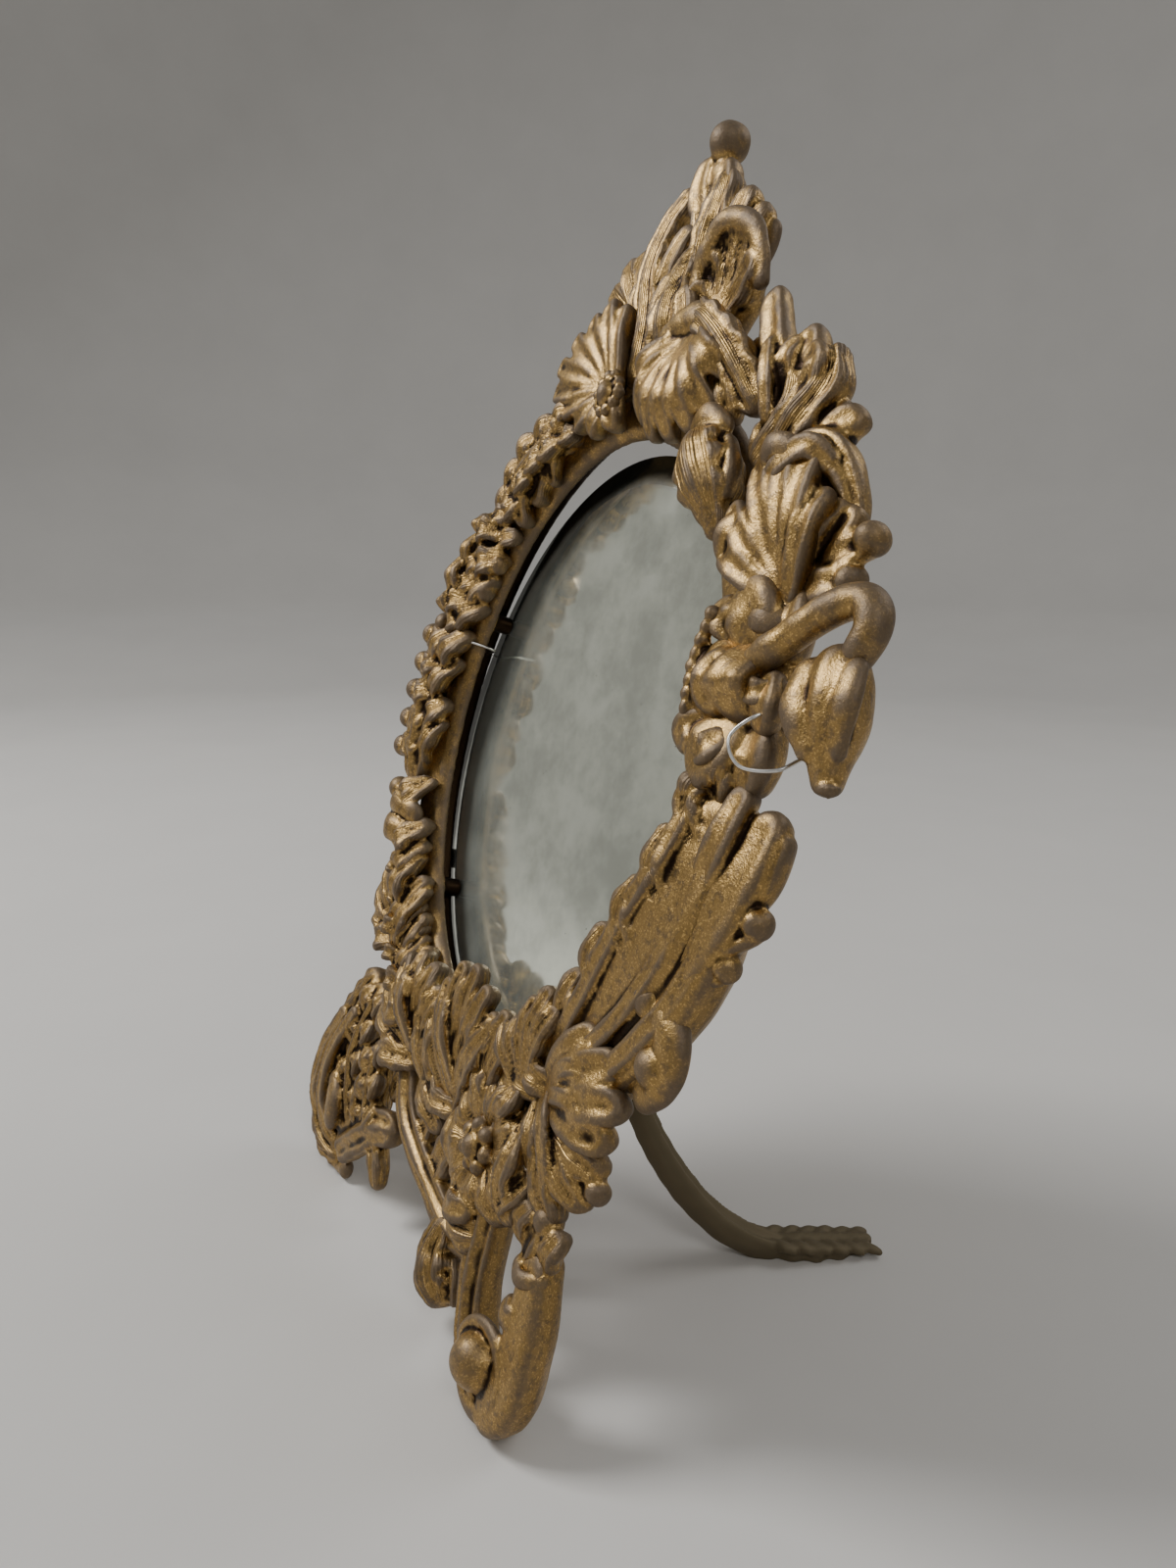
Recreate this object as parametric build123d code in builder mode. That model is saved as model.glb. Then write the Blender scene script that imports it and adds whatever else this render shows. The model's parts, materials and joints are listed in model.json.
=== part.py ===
from build123d import *
from math import cos, radians, sin, sqrt, tan
import os

# Rococo easel mirror: an oval looking glass in a cast frame of leaves and flowers, which leans back on two
# feet and on a hinged strut. Lengths are millimetres and angles degrees. +Z is up and -Y is the front.
# Most pieces are drawn on the frame's own plane: u runs to the right, v up the slope and n towards the
# viewer, with n = 0 at the back of the castings and v = 0 at the table.

# ---------------------------------------------------------------- driving dimensions
LEAN = 17.2                     # how far the frame leans back
FRAME_X = -9.0                  # places the middle of the whole object's footprint on the origin
HEEL_Y = -69.5                  # where the frame's plane meets the table
FOOT_SPACING = 150.0            # between the middles of the two front feet
TABLE_TO_RIM = 69.0             # up the slope, from the table to the rim's lowest point

OVAL_U = -1.0                   # the oval's middle, from the middle of the feet
OPENING_HALF_WIDTH = 77.0
OPENING_HALF_HEIGHT = 101.0
RIM_WIDTH = 20.0
RIM_THICKNESS = 5.0
RIM_ROUNDING = 1.5
LOBE_DRAFT = 0.3                # a lobe's sides lean in by this share of its smaller radius
DRAFT = 8.0                     # of every other cast face

GLASS_LAP_SIDES = 11.0          # how far the glass reaches past the opening, left and right
GLASS_LAP_ENDS = 7.0            # and at its ends
GLASS_DROP = 8.0                # the glass sits this much lower than the opening
GLASS_SHIFT = -3.0              # and this much to the left
GLASS_SETBACK = 8.0             # from the back of the castings to the glass
GLASS_THICKNESS = 4.0
BEVEL_WIDTH = 10.0
BEVEL_DEPTH = 1.2
LUG_RADIUS = 3.5
LUG_INSET = 0.5                 # from the opening's edge to a lug
LUG_ANGLES = (0, 20, 160, -40, -90, -140)
BOARD_THICKNESS = 2.0
BOARD_MARGIN = 3.0              # the board is this much smaller than the glass

STRAP_V = 130.0                 # the height of the strap and of the strut's hinge
STRAP_HALF_WIDTH = 6.0
STRAP_THICKNESS = 2.0
BOSS_RADIUS = 4.0
BOSS_TO_GLASS = 0.6
SCREW_RADIUS = 1.5
SCREW_HEAD_RADIUS = 3.0
SCREW_HEAD_HEIGHT = 2.0
SCREW_DEPTH = 8.0

HINGE_U = 15.0
HINGE_SKEW = 23.4               # the hinge is turned, so that the strut swings out to the right
HINGE_STAND_OFF = 8.0           # from the bracket's base to the hinge's axis
BRACKET_THICKNESS = 2.0
BRACKET_HALF_LENGTH = 17.0
BRACKET_HALF_WIDTH = 8.0
EAR_THICKNESS = 2.0
EAR_RADIUS = 5.0
RIVET_RADIUS = 1.5
RIVET_HEAD_RADIUS = 2.8
RIVET_HEAD_HEIGHT = 1.2
PIN_RADIUS = 2.0
PIN_HEAD_RADIUS = 3.4
PIN_HEAD_HEIGHT = 1.5
RUNNING_CLEARANCE = 0.05        # on the radius, between the pin and its holes
SIDE_CLEARANCE = 0.3            # between the strut's knuckle and each ear

STRUT_WIDTH = 8.0
STRUT_THICKNESS = 6.0
KNUCKLE_RADIUS = 4.6
TAIL_RADIUS = 2.0               # of the rounded tail that stops the strut when it is open
STRUT_KNEE_OUT = 34.0           # the strut turns outwards in two bends, this far out from its hinge
STRUT_KNEE_HEIGHT = 48.0        # and this far above the table
STRUT_BEND_OUT = 68.0
STRUT_BEND_HEIGHT = 14.0
STRUT_BEND_RADII = (60.0, 50.0, 40.0)
STRUT_HEEL_OUT = 91.0
STRUT_TIP_OUT = 123.0
STRUT_FOOT_HALF_WIDTH = 8.0
STRUT_FOOT_THICKNESS = 5.0
STOP_GAP = 0.2                  # between the strut's tail and the bracket it stops on

WIRE_V = 213.0
WIRE_RADIUS = 0.6
WIRE_BEND = 1.7
WIRE_GAP = 0.1                  # between the wire and what it passes over
WIRE_TAIL = 20.0                # the twisted end, past the rim's right edge
WIRE_BEHIND_RIM = 3.0
LEAF_GAP = 1.4                  # the room that leaves over the wire leave it

# ---------------------------------------------------------------- planes and places
RIM_HALF_WIDTH = OPENING_HALF_WIDTH + RIM_WIDTH
RIM_HALF_HEIGHT = OPENING_HALF_HEIGHT + RIM_WIDTH
OVAL_V = TABLE_TO_RIM + RIM_HALF_HEIGHT
GLASS_HALF_WIDTH = OPENING_HALF_WIDTH + GLASS_LAP_SIDES
GLASS_HALF_HEIGHT = OPENING_HALF_HEIGHT + GLASS_LAP_ENDS
GLASS_U = OVAL_U + GLASS_SHIFT
GLASS_V = OVAL_V - GLASS_DROP
GLASS_BACK = -GLASS_SETBACK - GLASS_THICKNESS
BOARD_BACK = GLASS_BACK - BOARD_THICKNESS
STRAP_BACK = BOARD_BACK - STRAP_THICKNESS
BRACKET_BACK = STRAP_BACK - BRACKET_THICKNESS
HINGE_N = BRACKET_BACK - HINGE_STAND_OFF

FACE = Plane(
    origin=(FRAME_X, HEEL_Y, 0),
    x_dir=(1, 0, 0),
    z_dir=(0, -cos(radians(LEAN)), sin(radians(LEAN))),
)
TABLE = Plane.XY


def face_plane(u, v, n=0.0):
    """The frame's plane, moved so that its origin is at u, v, n."""
    return Plane(FACE.from_local_coords((u, v, n)), x_dir=FACE.x_dir, z_dir=FACE.z_dir)


def station(angle):
    """The frame's plane with its origin on the rim's outer edge, at this angle round the oval."""
    return face_plane(
        OVAL_U + RIM_HALF_WIDTH * cos(radians(angle)),
        OVAL_V + RIM_HALF_HEIGHT * sin(radians(angle)),
    )


def half_chord(v, middle_v, half_width, half_height):
    """Half the width of an upright ellipse at the height v."""
    return half_width * sqrt(1 - ((v - middle_v) / half_height) ** 2)


# ---------------------------------------------------------------- ways of shaping a casting
def outline(plane, start, end, inset=0.0):
    """The face round two (u, v, radius) ends."""
    with BuildSketch(plane) as face:
        for u, v, radius in (start, end):
            with Locations((u, v)):
                Circle(radius - inset)
        make_hull()
    return face.sketch


def lobe(plane, start, end, height):
    """A tapering lobe between two (u, v, radius) ends, standing on the castings' back."""
    foot = outline(plane, start, end)
    top = outline(plane.offset(height), start, end, LOBE_DRAFT * min(start[2], end[2]))
    loft([foot, top], ruled=True)


def strand(plane, points, height):
    """Lobes end to end through a row of (u, v, radius) points."""
    for start, end in zip(points, points[1:]):
        lobe(plane, start, end, height)


def fan(plane, root, tips, height):
    """Lobes that open out of one root."""
    for tip in tips:
        lobe(plane, root, tip, height)


def ball(plane, u, v, n, radius):
    """A round berry or knop."""
    add(Sphere(radius, mode=Mode.PRIVATE).moved(face_shift(plane, u, v, n)))


def face_shift(plane, u, v, n):
    """The place of a point given on one of the frame's planes."""
    return Location(plane.from_local_coords((u, v, n)))


def turned(plane, start, end, n, radii):
    """A turned bud: radii at equal steps along the line from start to end, n above the plane."""
    along = Vector(end[0] - start[0], end[1] - start[1], 0)
    step = along.length / (len(radii) - 1)
    foot = plane.from_local_coords((start[0], start[1], n))
    run = plane.x_dir * (along.X / along.length) + plane.y_dir * (along.Y / along.length)
    with BuildSketch(Plane(foot, x_dir=run, z_dir=plane.z_dir)) as half:
        with BuildLine():
            edge = Spline([(step * i, radius) for i, radius in enumerate(radii)])
            Polyline(edge @ 1, (along.length, 0), (0, 0), edge @ 0)
        make_face()
    revolve(half.sketch, axis=Axis(foot, run))


def clear_of(*pieces):
    """Cut away what other pieces already fill, so that the piece being made meets them face to face."""
    for piece in pieces:
        add(piece.part, mode=Mode.SUBTRACT)


def finish(piece, label):
    """Name a finished piece and write it."""
    piece.part.label = label
    export_step(piece.part, f"parts/{label}.step")


os.makedirs("parts", exist_ok=True)

# ---------------------------------------------------------------- glass and what holds it
strap_ends = []
for side in (-1, 1):
    glass_edge = GLASS_U + side * half_chord(STRAP_V, GLASS_V, GLASS_HALF_WIDTH, GLASS_HALF_HEIGHT)
    strap_ends.append((glass_edge + side * (BOSS_TO_GLASS + BOSS_RADIUS), STRAP_V))

with BuildPart() as rim_ring:
    with BuildSketch(FACE):
        with Locations((OVAL_U, OVAL_V)):
            Ellipse(RIM_HALF_WIDTH, RIM_HALF_HEIGHT)
            Ellipse(OPENING_HALF_WIDTH, OPENING_HALF_HEIGHT, mode=Mode.SUBTRACT)
    extrude(amount=RIM_THICKNESS)
    fillet(rim_ring.faces().sort_by(FACE.location.z_axis)[-1].edges(), RIM_ROUNDING)
    # lugs on the back, which set the glass behind the rim
    lug_reach = LUG_RADIUS + LUG_INSET
    with BuildSketch(FACE):
        for angle in LUG_ANGLES:
            lug_u = OVAL_U + (OPENING_HALF_WIDTH + lug_reach) * cos(radians(angle))
            lug_v = OVAL_V + (OPENING_HALF_HEIGHT + lug_reach) * sin(radians(angle))
            with Locations((lug_u, lug_v)):
                Circle(LUG_RADIUS)
    extrude(amount=-GLASS_SETBACK)
    # bosses beside the glass, which the strap is screwed to
    with BuildSketch(FACE.offset(RIM_THICKNESS / 2)):
        with Locations(strap_ends):
            Circle(BOSS_RADIUS)
    extrude(amount=BOARD_BACK - RIM_THICKNESS / 2)
    with BuildSketch(FACE.offset(BOARD_BACK)):
        with Locations(strap_ends):
            Circle(SCREW_RADIUS)
    extrude(amount=SCREW_DEPTH, mode=Mode.SUBTRACT)
finish(rim_ring, "rim_ring")

with BuildPart() as mirror_glass:
    with BuildSketch(FACE.offset(GLASS_BACK)):
        with Locations((GLASS_U, GLASS_V)):
            Ellipse(GLASS_HALF_WIDTH, GLASS_HALF_HEIGHT)
    extrude(amount=GLASS_THICKNESS - BEVEL_DEPTH)
    with BuildSketch(FACE.offset(-GLASS_SETBACK - BEVEL_DEPTH)):
        with Locations((GLASS_U, GLASS_V)):
            Ellipse(GLASS_HALF_WIDTH, GLASS_HALF_HEIGHT)
    with BuildSketch(FACE.offset(-GLASS_SETBACK)):
        with Locations((GLASS_U, GLASS_V)):
            Ellipse(GLASS_HALF_WIDTH - BEVEL_WIDTH, GLASS_HALF_HEIGHT - BEVEL_WIDTH)
    loft()
finish(mirror_glass, "mirror_glass")

with BuildPart() as backing_board:
    with BuildSketch(FACE.offset(BOARD_BACK)):
        with Locations((GLASS_U, GLASS_V)):
            Ellipse(GLASS_HALF_WIDTH - BOARD_MARGIN, GLASS_HALF_HEIGHT - BOARD_MARGIN)
    extrude(amount=BOARD_THICKNESS)
finish(backing_board, "backing_board")

# ---------------------------------------------------------------- strap, bracket and hinge
BRACKET_PLANE = face_plane(HINGE_U, STRAP_V)
rivet_places = [(-BRACKET_HALF_LENGTH + 2 * RIVET_RADIUS, 0), (BRACKET_HALF_LENGTH - 2 * RIVET_RADIUS, 0)]

with BuildPart() as hinge_strap:
    with BuildSketch(FACE.offset(STRAP_BACK)):
        with Locations(strap_ends):
            Circle(STRAP_HALF_WIDTH)
        make_hull()
        with Locations(strap_ends):
            Circle(SCREW_RADIUS, mode=Mode.SUBTRACT)
    extrude(amount=STRAP_THICKNESS)
    with BuildSketch(BRACKET_PLANE.offset(STRAP_BACK)):
        with Locations(rivet_places):
            Circle(RIVET_RADIUS)
    extrude(amount=STRAP_THICKNESS, mode=Mode.SUBTRACT)
finish(hinge_strap, "hinge_strap")

with BuildPart() as strap_screws:
    with BuildSketch(FACE.offset(STRAP_BACK)):
        with Locations(strap_ends):
            Circle(SCREW_RADIUS)
    extrude(amount=STRAP_THICKNESS + SCREW_DEPTH)
    with BuildSketch(FACE.offset(STRAP_BACK)):
        with Locations(strap_ends):
            Circle(SCREW_HEAD_RADIUS)
    extrude(amount=-SCREW_HEAD_HEIGHT, taper=DRAFT)
finish(strap_screws, "strap_screws")

# The hinge's own plane: x runs out from the back, y up the slope and z along the pin.
skew = radians(HINGE_SKEW)
HINGE = Plane(
    BRACKET_PLANE.from_local_coords((0, 0, HINGE_N)),
    x_dir=FACE.x_dir * sin(skew) - FACE.z_dir * cos(skew),
    z_dir=FACE.x_dir * cos(skew) + FACE.z_dir * sin(skew),
)
ear_inside = STRUT_WIDTH / 2 + SIDE_CLEARANCE
ear_outside = ear_inside + EAR_THICKNESS

with BuildPart() as strut_bracket:
    for side in (-1, 1):
        with BuildSketch(HINGE.offset(side * ear_inside)) as ear:
            Circle(EAR_RADIUS)
            with Locations((-3 * HINGE_STAND_OFF, 0)):
                Circle(EAR_RADIUS)
            make_hull()
        extrude(amount=side * EAR_THICKNESS)
    split(bisect_by=BRACKET_PLANE.offset(BRACKET_BACK + BRACKET_THICKNESS / 2), keep=Keep.BOTTOM)
    with BuildSketch(BRACKET_PLANE.offset(BRACKET_BACK)):
        RectangleRounded(2 * BRACKET_HALF_LENGTH, 2 * BRACKET_HALF_WIDTH, RIVET_HEAD_RADIUS)
        with Locations(rivet_places):
            Circle(RIVET_RADIUS, mode=Mode.SUBTRACT)
    extrude(amount=BRACKET_THICKNESS)
    with BuildSketch(HINGE.offset(-ear_outside)):
        Circle(PIN_RADIUS + RUNNING_CLEARANCE)
    extrude(amount=2 * ear_outside, mode=Mode.SUBTRACT)
finish(strut_bracket, "strut_bracket")

with BuildPart() as bracket_rivets:
    with BuildSketch(BRACKET_PLANE.offset(BRACKET_BACK)):
        with Locations(rivet_places):
            Circle(RIVET_RADIUS)
    extrude(amount=BRACKET_THICKNESS + STRAP_THICKNESS)
    with BuildSketch(BRACKET_PLANE.offset(BRACKET_BACK)):
        with Locations(rivet_places):
            Circle(RIVET_HEAD_RADIUS)
    extrude(amount=-RIVET_HEAD_HEIGHT, taper=DRAFT)
finish(bracket_rivets, "bracket_rivets")

with BuildPart() as hinge_pin:
    with BuildSketch(HINGE.offset(-ear_outside)):
        Circle(PIN_RADIUS)
    extrude(amount=2 * ear_outside)
    for side in (-1, 1):
        with BuildSketch(HINGE.offset(side * ear_outside)):
            Circle(PIN_HEAD_RADIUS)
        extrude(amount=side * PIN_HEAD_HEIGHT)
finish(hinge_pin, "hinge_pin")


# ---------------------------------------------------------------- strut
def table_under(out):
    """The table's height in the hinge's plane, at a distance out from the hinge."""
    return (out * cos(skew) - HINGE_N) * tan(radians(LEAN)) - STRAP_V


foot_middle = STRUT_FOOT_THICKNESS / 2
strut_knee = (STRUT_KNEE_OUT, table_under(STRUT_KNEE_OUT) + STRUT_KNEE_HEIGHT)
strut_bend = (STRUT_BEND_OUT, table_under(STRUT_BEND_OUT) + STRUT_BEND_HEIGHT)
strut_heel = (STRUT_HEEL_OUT, table_under(STRUT_HEEL_OUT) + foot_middle)
strut_tip = (STRUT_TIP_OUT, table_under(STRUT_TIP_OUT) + foot_middle)
# the tail reaches in to the bracket's base
tail_reach = (HINGE_STAND_OFF - STOP_GAP - STRUT_WIDTH / 2 * sin(skew)) / cos(skew)

with BuildPart() as strut_leg:
    with BuildSketch(HINGE.offset(-STRUT_WIDTH / 2)):
        with BuildLine():
            FilletPolyline((0, 0), strut_knee, strut_bend, strut_heel, strut_tip, radius=STRUT_BEND_RADII)
        trace(line_width=STRUT_THICKNESS)
    extrude(amount=STRUT_WIDTH)
    tail_end = (TAIL_RADIUS - tail_reach, 2 * TAIL_RADIUS, TAIL_RADIUS)
    tail = outline(HINGE.offset(-STRUT_WIDTH / 2), (0, 0, KNUCKLE_RADIUS), tail_end)
    extrude(tail, amount=STRUT_WIDTH)
    with BuildSketch(HINGE.offset(-STRUT_WIDTH / 2)):
        Circle(PIN_RADIUS + RUNNING_CLEARANCE)
    extrude(amount=STRUT_WIDTH, mode=Mode.SUBTRACT)
    # the leaf that lies on the table
    out_dir = Vector(HINGE.x_dir.X, HINGE.x_dir.Y, 0).normalized()
    heel_place = HINGE.from_local_coords(strut_heel)
    tip_place = HINGE.from_local_coords(strut_tip)
    LEAF = Plane((heel_place.X, heel_place.Y, 0), x_dir=out_dir, z_dir=(0, 0, 1))
    leaf_length = (Vector(tip_place.X, tip_place.Y, 0) - LEAF.origin).length
    leaf_end = STRUT_FOOT_HALF_WIDTH / 2
    leaf_middle = leaf_length * 0.45
    strand(
        LEAF,
        [(0, 0, leaf_end), (leaf_middle, 0, STRUT_FOOT_HALF_WIDTH), (leaf_length + 2, 0, leaf_end)],
        STRUT_FOOT_THICKNESS,
    )
    split(bisect_by=TABLE, keep=Keep.TOP)
finish(strut_leg, "strut_leg")

# ---------------------------------------------------------------- tie wire
wire_turn = WIRE_RADIUS + WIRE_GAP
wire_front = RIM_THICKNESS + wire_turn
wire_back = BOARD_BACK - wire_turn
opening_half = half_chord(WIRE_V, OVAL_V, OPENING_HALF_WIDTH, OPENING_HALF_HEIGHT)
rim_half = half_chord(WIRE_V, OVAL_V, RIM_HALF_WIDTH, RIM_HALF_HEIGHT)
glass_half = half_chord(WIRE_V, GLASS_V, GLASS_HALF_WIDTH, GLASS_HALF_HEIGHT)
wire_inside = OVAL_U - opening_half + wire_turn + WIRE_BEND
wire_left = GLASS_U - glass_half - wire_turn - WIRE_BEND
wire_right = GLASS_U + glass_half + wire_turn + WIRE_BEND
WIRE_PLANE = Plane(FACE.from_local_coords((0, WIRE_V, 0)), x_dir=FACE.x_dir, z_dir=-FACE.y_dir)

with BuildPart() as tie_wire:
    with BuildLine(WIRE_PLANE) as wire_path:
        FilletPolyline(
            (OVAL_U - rim_half + RIM_ROUNDING, wire_front),
            (wire_inside, wire_front),
            (wire_inside, -WIRE_BEHIND_RIM),
            (wire_left, -WIRE_BEHIND_RIM),
            (wire_left, wire_back),
            (wire_right, wire_back),
            (wire_right, -WIRE_BEHIND_RIM),
            (OVAL_U + rim_half + WIRE_TAIL, -WIRE_BEHIND_RIM),
            radius=WIRE_BEND,
        )
    with BuildSketch(wire_path.line ^ 0):
        Circle(WIRE_RADIUS)
    sweep()
finish(tie_wire, "tie_wire")

# room under the leaves for the wire on the rim's front
with BuildPart(mode=Mode.PRIVATE) as wire_room:
    with BuildSketch(FACE):
        with Locations((OVAL_U - RIM_HALF_WIDTH + RIM_WIDTH / 2, WIRE_V)):
            Rectangle(2 * RIM_WIDTH, 2 * LEAF_GAP)
    extrude(amount=wire_front + wire_turn + WIRE_GAP)

# ---------------------------------------------------------------- crest
CREST = station(80)
CREST_LEFT = station(97)

with BuildPart() as finial_leaf:
    strand(CREST, [(4, 30, 8), (6, 40, 8), (5, 58, 5.5)], 10)
    fan(CREST, (10, 36, 7), [(21, 50, 5), (27, 44, 5)], 9)
    lobe(CREST, (-2, 46, 5), (-8, 62, 4), 8)
finish(finial_leaf, "finial_leaf")

with BuildPart() as finial_knop:
    lobe(CREST, (1, 60, 4.5), (-1, 68, 4.5), 9)
    ball(CREST, -1, 70, 7, 8)
    clear_of(finial_leaf)
finish(finial_knop, "finial_knop")

with BuildPart() as crest_cup:
    with BuildSketch(CREST):
        with Locations((25, 20)):
            Circle(14)
    extrude(amount=15, taper=DRAFT)
    lobe(CREST, (20, 30, 6), (30, 37, 5), 7)
    lobe(CREST, (14, 6, 9), (25, 16, 9), 10)
    add(Sphere(11, mode=Mode.PRIVATE).moved(face_shift(CREST, 25, 20, 21)), mode=Mode.SUBTRACT)
    clear_of(finial_leaf)
finish(crest_cup, "crest_cup")

with BuildPart() as crest_fold:
    lobe(CREST, (0, 4, 8), (0, 22, 9), 13)
    lobe(CREST, (-2, 24, 8), (-4, 40, 6), 11)
    clear_of(rim_ring, finial_leaf, crest_cup)
finish(crest_fold, "crest_fold")

with BuildPart() as crest_scroll:
    strand(CREST, [(-20, 0, 7), (-20, 17, 6), (-24, 36, 6), (-23, 52, 5), (-14, 63, 3.5)], 10)
    lobe(CREST, (-18, 30, 6), (-8, 46, 6), 8)
    clear_of(rim_ring, finial_leaf, crest_fold)
finish(crest_scroll, "crest_scroll")

with BuildPart() as crest_side_leaves:
    fan(CREST, (-26, 20, 7), [(-46, 46, 5.5), (-52, 36, 5), (-50, 26, 5)], 6)
    clear_of(rim_ring, crest_scroll)
finish(crest_side_leaves, "crest_side_leaves")

with BuildPart() as daisy_petals:
    fan(
        CREST_LEFT,
        (6, -6, 6),
        [(-17, 24, 5), (-28, 17, 5), (-35, 9, 5), (-34, 0, 5), (-24, -10, 5), (-8, -16, 5), (12, -16, 5)],
        13,
    )
    clear_of(rim_ring, crest_scroll, crest_side_leaves, crest_fold)
finish(daisy_petals, "daisy_petals")

with BuildPart() as daisy_heart:
    with BuildSketch(CREST_LEFT.offset(13)):
        with Locations((6, -6)):
            Circle(5.5)
    extrude(amount=4, taper=3 * DRAFT)
finish(daisy_heart, "daisy_heart")

with BuildPart() as draped_blossom:
    fan(CREST, (20, 4, 6), [(0, -14, 6), (10, -19, 6), (21, -20, 6), (31, -18, 6), (38, -10, 6)], 18)
    clear_of(rim_ring, crest_cup, crest_fold, crest_scroll, daisy_petals)
finish(draped_blossom, "draped_blossom")

with BuildPart() as strap_leaf:
    strand(CREST, [(28, 7, 6), (42, -2, 6), (53, -18, 6)], 14)
    clear_of(rim_ring, crest_cup, draped_blossom)
finish(strap_leaf, "strap_leaf")

# ---------------------------------------------------------------- right shoulder
SHOULDER = station(45)
HORN = station(30)

with BuildPart() as bell_bud:
    turned(SHOULDER, (-16, 6), (2, -18), RIM_THICKNESS + 9, (4, 8, 9, 8.4, 5, 3))
    clear_of(rim_ring, draped_blossom, strap_leaf)
finish(bell_bud, "bell_bud")

with BuildPart() as finger_leaf:
    lobe(SHOULDER, (1, 0, 8), (15, 14, 7), 10)
    fan(SHOULDER, (15, 14, 6), [(-8, 48, 5), (9, 39, 6)], 10)
    clear_of(rim_ring, strap_leaf, bell_bud)
finish(finger_leaf, "finger_leaf")

with BuildPart() as curl_leaf:
    strand(SHOULDER, [(14, 2, 8), (22, 14, 7), (24, 21, 7)], 12)
    lobe(SHOULDER, (20, 4, 7), (33, 11, 6), 9)
    clear_of(rim_ring, finger_leaf)
finish(curl_leaf, "curl_leaf")

with BuildPart() as horn_leaf:
    strand(SHOULDER, [(14, -6, 9), (31, -2, 8), (45, -13, 5)], 11)
    clear_of(rim_ring, bell_bud, finger_leaf, curl_leaf)
finish(horn_leaf, "horn_leaf")

with BuildPart() as fan_leaf:
    fan(HORN, (19, -6, 7), [(-8, 4, 5), (2, 14, 6), (15, 15, 6), (24, 10, 5)], 13)
    clear_of(rim_ring, horn_leaf, bell_bud, finger_leaf, curl_leaf)
finish(fan_leaf, "fan_leaf")

with BuildPart() as knob_spray:
    fan(HORN, (24, -3, 6), [(34, 12, 4.5), (42, 3, 5), (37, -6, 5)], 9)
    clear_of(rim_ring, fan_leaf, horn_leaf)
finish(knob_spray, "knob_spray")

# ---------------------------------------------------------------- rose and tulip
ROSE = station(12)

with BuildPart() as rose_calyx:
    fan(
        ROSE,
        (4, 2, 9),
        [(2, 22, 7), (-8, 12, 7), (-9, -6, 7), (-4, -18, 7), (8, -20, 7), (18, -9, 6), (16, 8, 6)],
        12,
    )
    clear_of(rim_ring, fan_leaf, knob_spray, wire_room)
finish(rose_calyx, "rose_calyx")

with BuildPart() as rose_bloom:
    with BuildSketch(ROSE.offset(12)):
        with Locations((4, 2)):
            Circle(7)
            with PolarLocations(8, 5):
                Circle(5)
    extrude(amount=5, taper=DRAFT)
    with BuildSketch(ROSE.offset(17)):
        with Locations((4, 2)):
            with PolarLocations(3, 3):
                Circle(4)
    extrude(amount=3, taper=2 * DRAFT)
finish(rose_bloom, "rose_bloom")

with BuildPart() as tulip_bud:
    turned(ROSE, (34, 14), (42, -17), 12, (5, 10, 11.5, 10.5, 8, 6, 3))
    clear_of(rose_calyx)
finish(tulip_bud, "tulip_bud")

with BuildPart() as bud_stem:
    with BuildLine(ROSE.offset(9)) as stem_path:
        FilletPolyline((10, 6), (27, 24), (40, 24), (36, 10), radius=(6, 6))
    with BuildSketch(stem_path.line ^ 0):
        Circle(4.5)
    sweep()
    clear_of(rim_ring, rose_calyx, rose_bloom, tulip_bud, knob_spray, fan_leaf)
finish(bud_stem, "bud_stem")

# ---------------------------------------------------------------- right flank
FLANK = station(-25)

with BuildPart() as acanthus_leaf:
    strand(FLANK, [(-32, -42, 6), (-8, -8, 9), (8, 20, 12), (12, 46, 11)], 13)
    lobe(FLANK, (-12, -14, 6), (-22, -12, 5), 11)
    lobe(FLANK, (0, 4, 7), (-9, 11, 5), 11)
    lobe(FLANK, (6, 24, 7), (-2, 31, 5), 11)
    clear_of(rim_ring, rose_calyx, tulip_bud)
finish(acanthus_leaf, "acanthus_leaf")

with BuildPart() as acanthus_tips:
    lobe(FLANK, (20, 40, 7), (30, 44, 7), 9)
    lobe(FLANK, (18, 24, 8), (38, 24, 5), 10)
    lobe(FLANK, (10, 8, 7), (27, 10, 5), 10)
    lobe(FLANK, (16, 12, 6), (22, 40, 6), 7)
    clear_of(rim_ring, acanthus_leaf, rose_calyx, tulip_bud)
finish(acanthus_tips, "acanthus_tips")

with BuildPart() as c_scroll:
    with BuildSketch(FLANK):
        with Locations((13, -14)):
            Circle(12)
    extrude(amount=12, taper=DRAFT)
    lobe(FLANK, (0, -12, 6), (10, -4, 7), 10)
    ball(FLANK, 10, -3, 8, 7)
    with BuildSketch(FLANK):
        with Locations((10, -14)):
            Circle(4)
    extrude(amount=12, mode=Mode.SUBTRACT)
    clear_of(rim_ring, acanthus_leaf, acanthus_tips)
finish(c_scroll, "c_scroll")

CORNER = station(-50)

with BuildPart() as corner_leaves:
    fan(CORNER, (0, -4, 8), [(33, 10, 6), (27, -3, 6), (16, 12, 6)], 12)
    clear_of(rim_ring, acanthus_leaf, c_scroll)
finish(corner_leaves, "corner_leaves")

with BuildPart() as hanging_leaf:
    fan(CORNER, (6, -12, 8), [(24, -15, 5), (21, -26, 4.5), (10, -24, 5)], 11)
    clear_of(rim_ring, corner_leaves)
finish(hanging_leaf, "hanging_leaf")

with BuildPart() as right_palmette:
    fan(CORNER, (-14, -4, 6), [(-13, 20, 4.5), (-21, 14, 4.5), (-27, 6, 4.5)], 13)
    clear_of(rim_ring, acanthus_leaf, corner_leaves)
finish(right_palmette, "right_palmette")

# ---------------------------------------------------------------- base
BASE = station(-75)
BASE_LEFT = station(-110)

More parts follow.
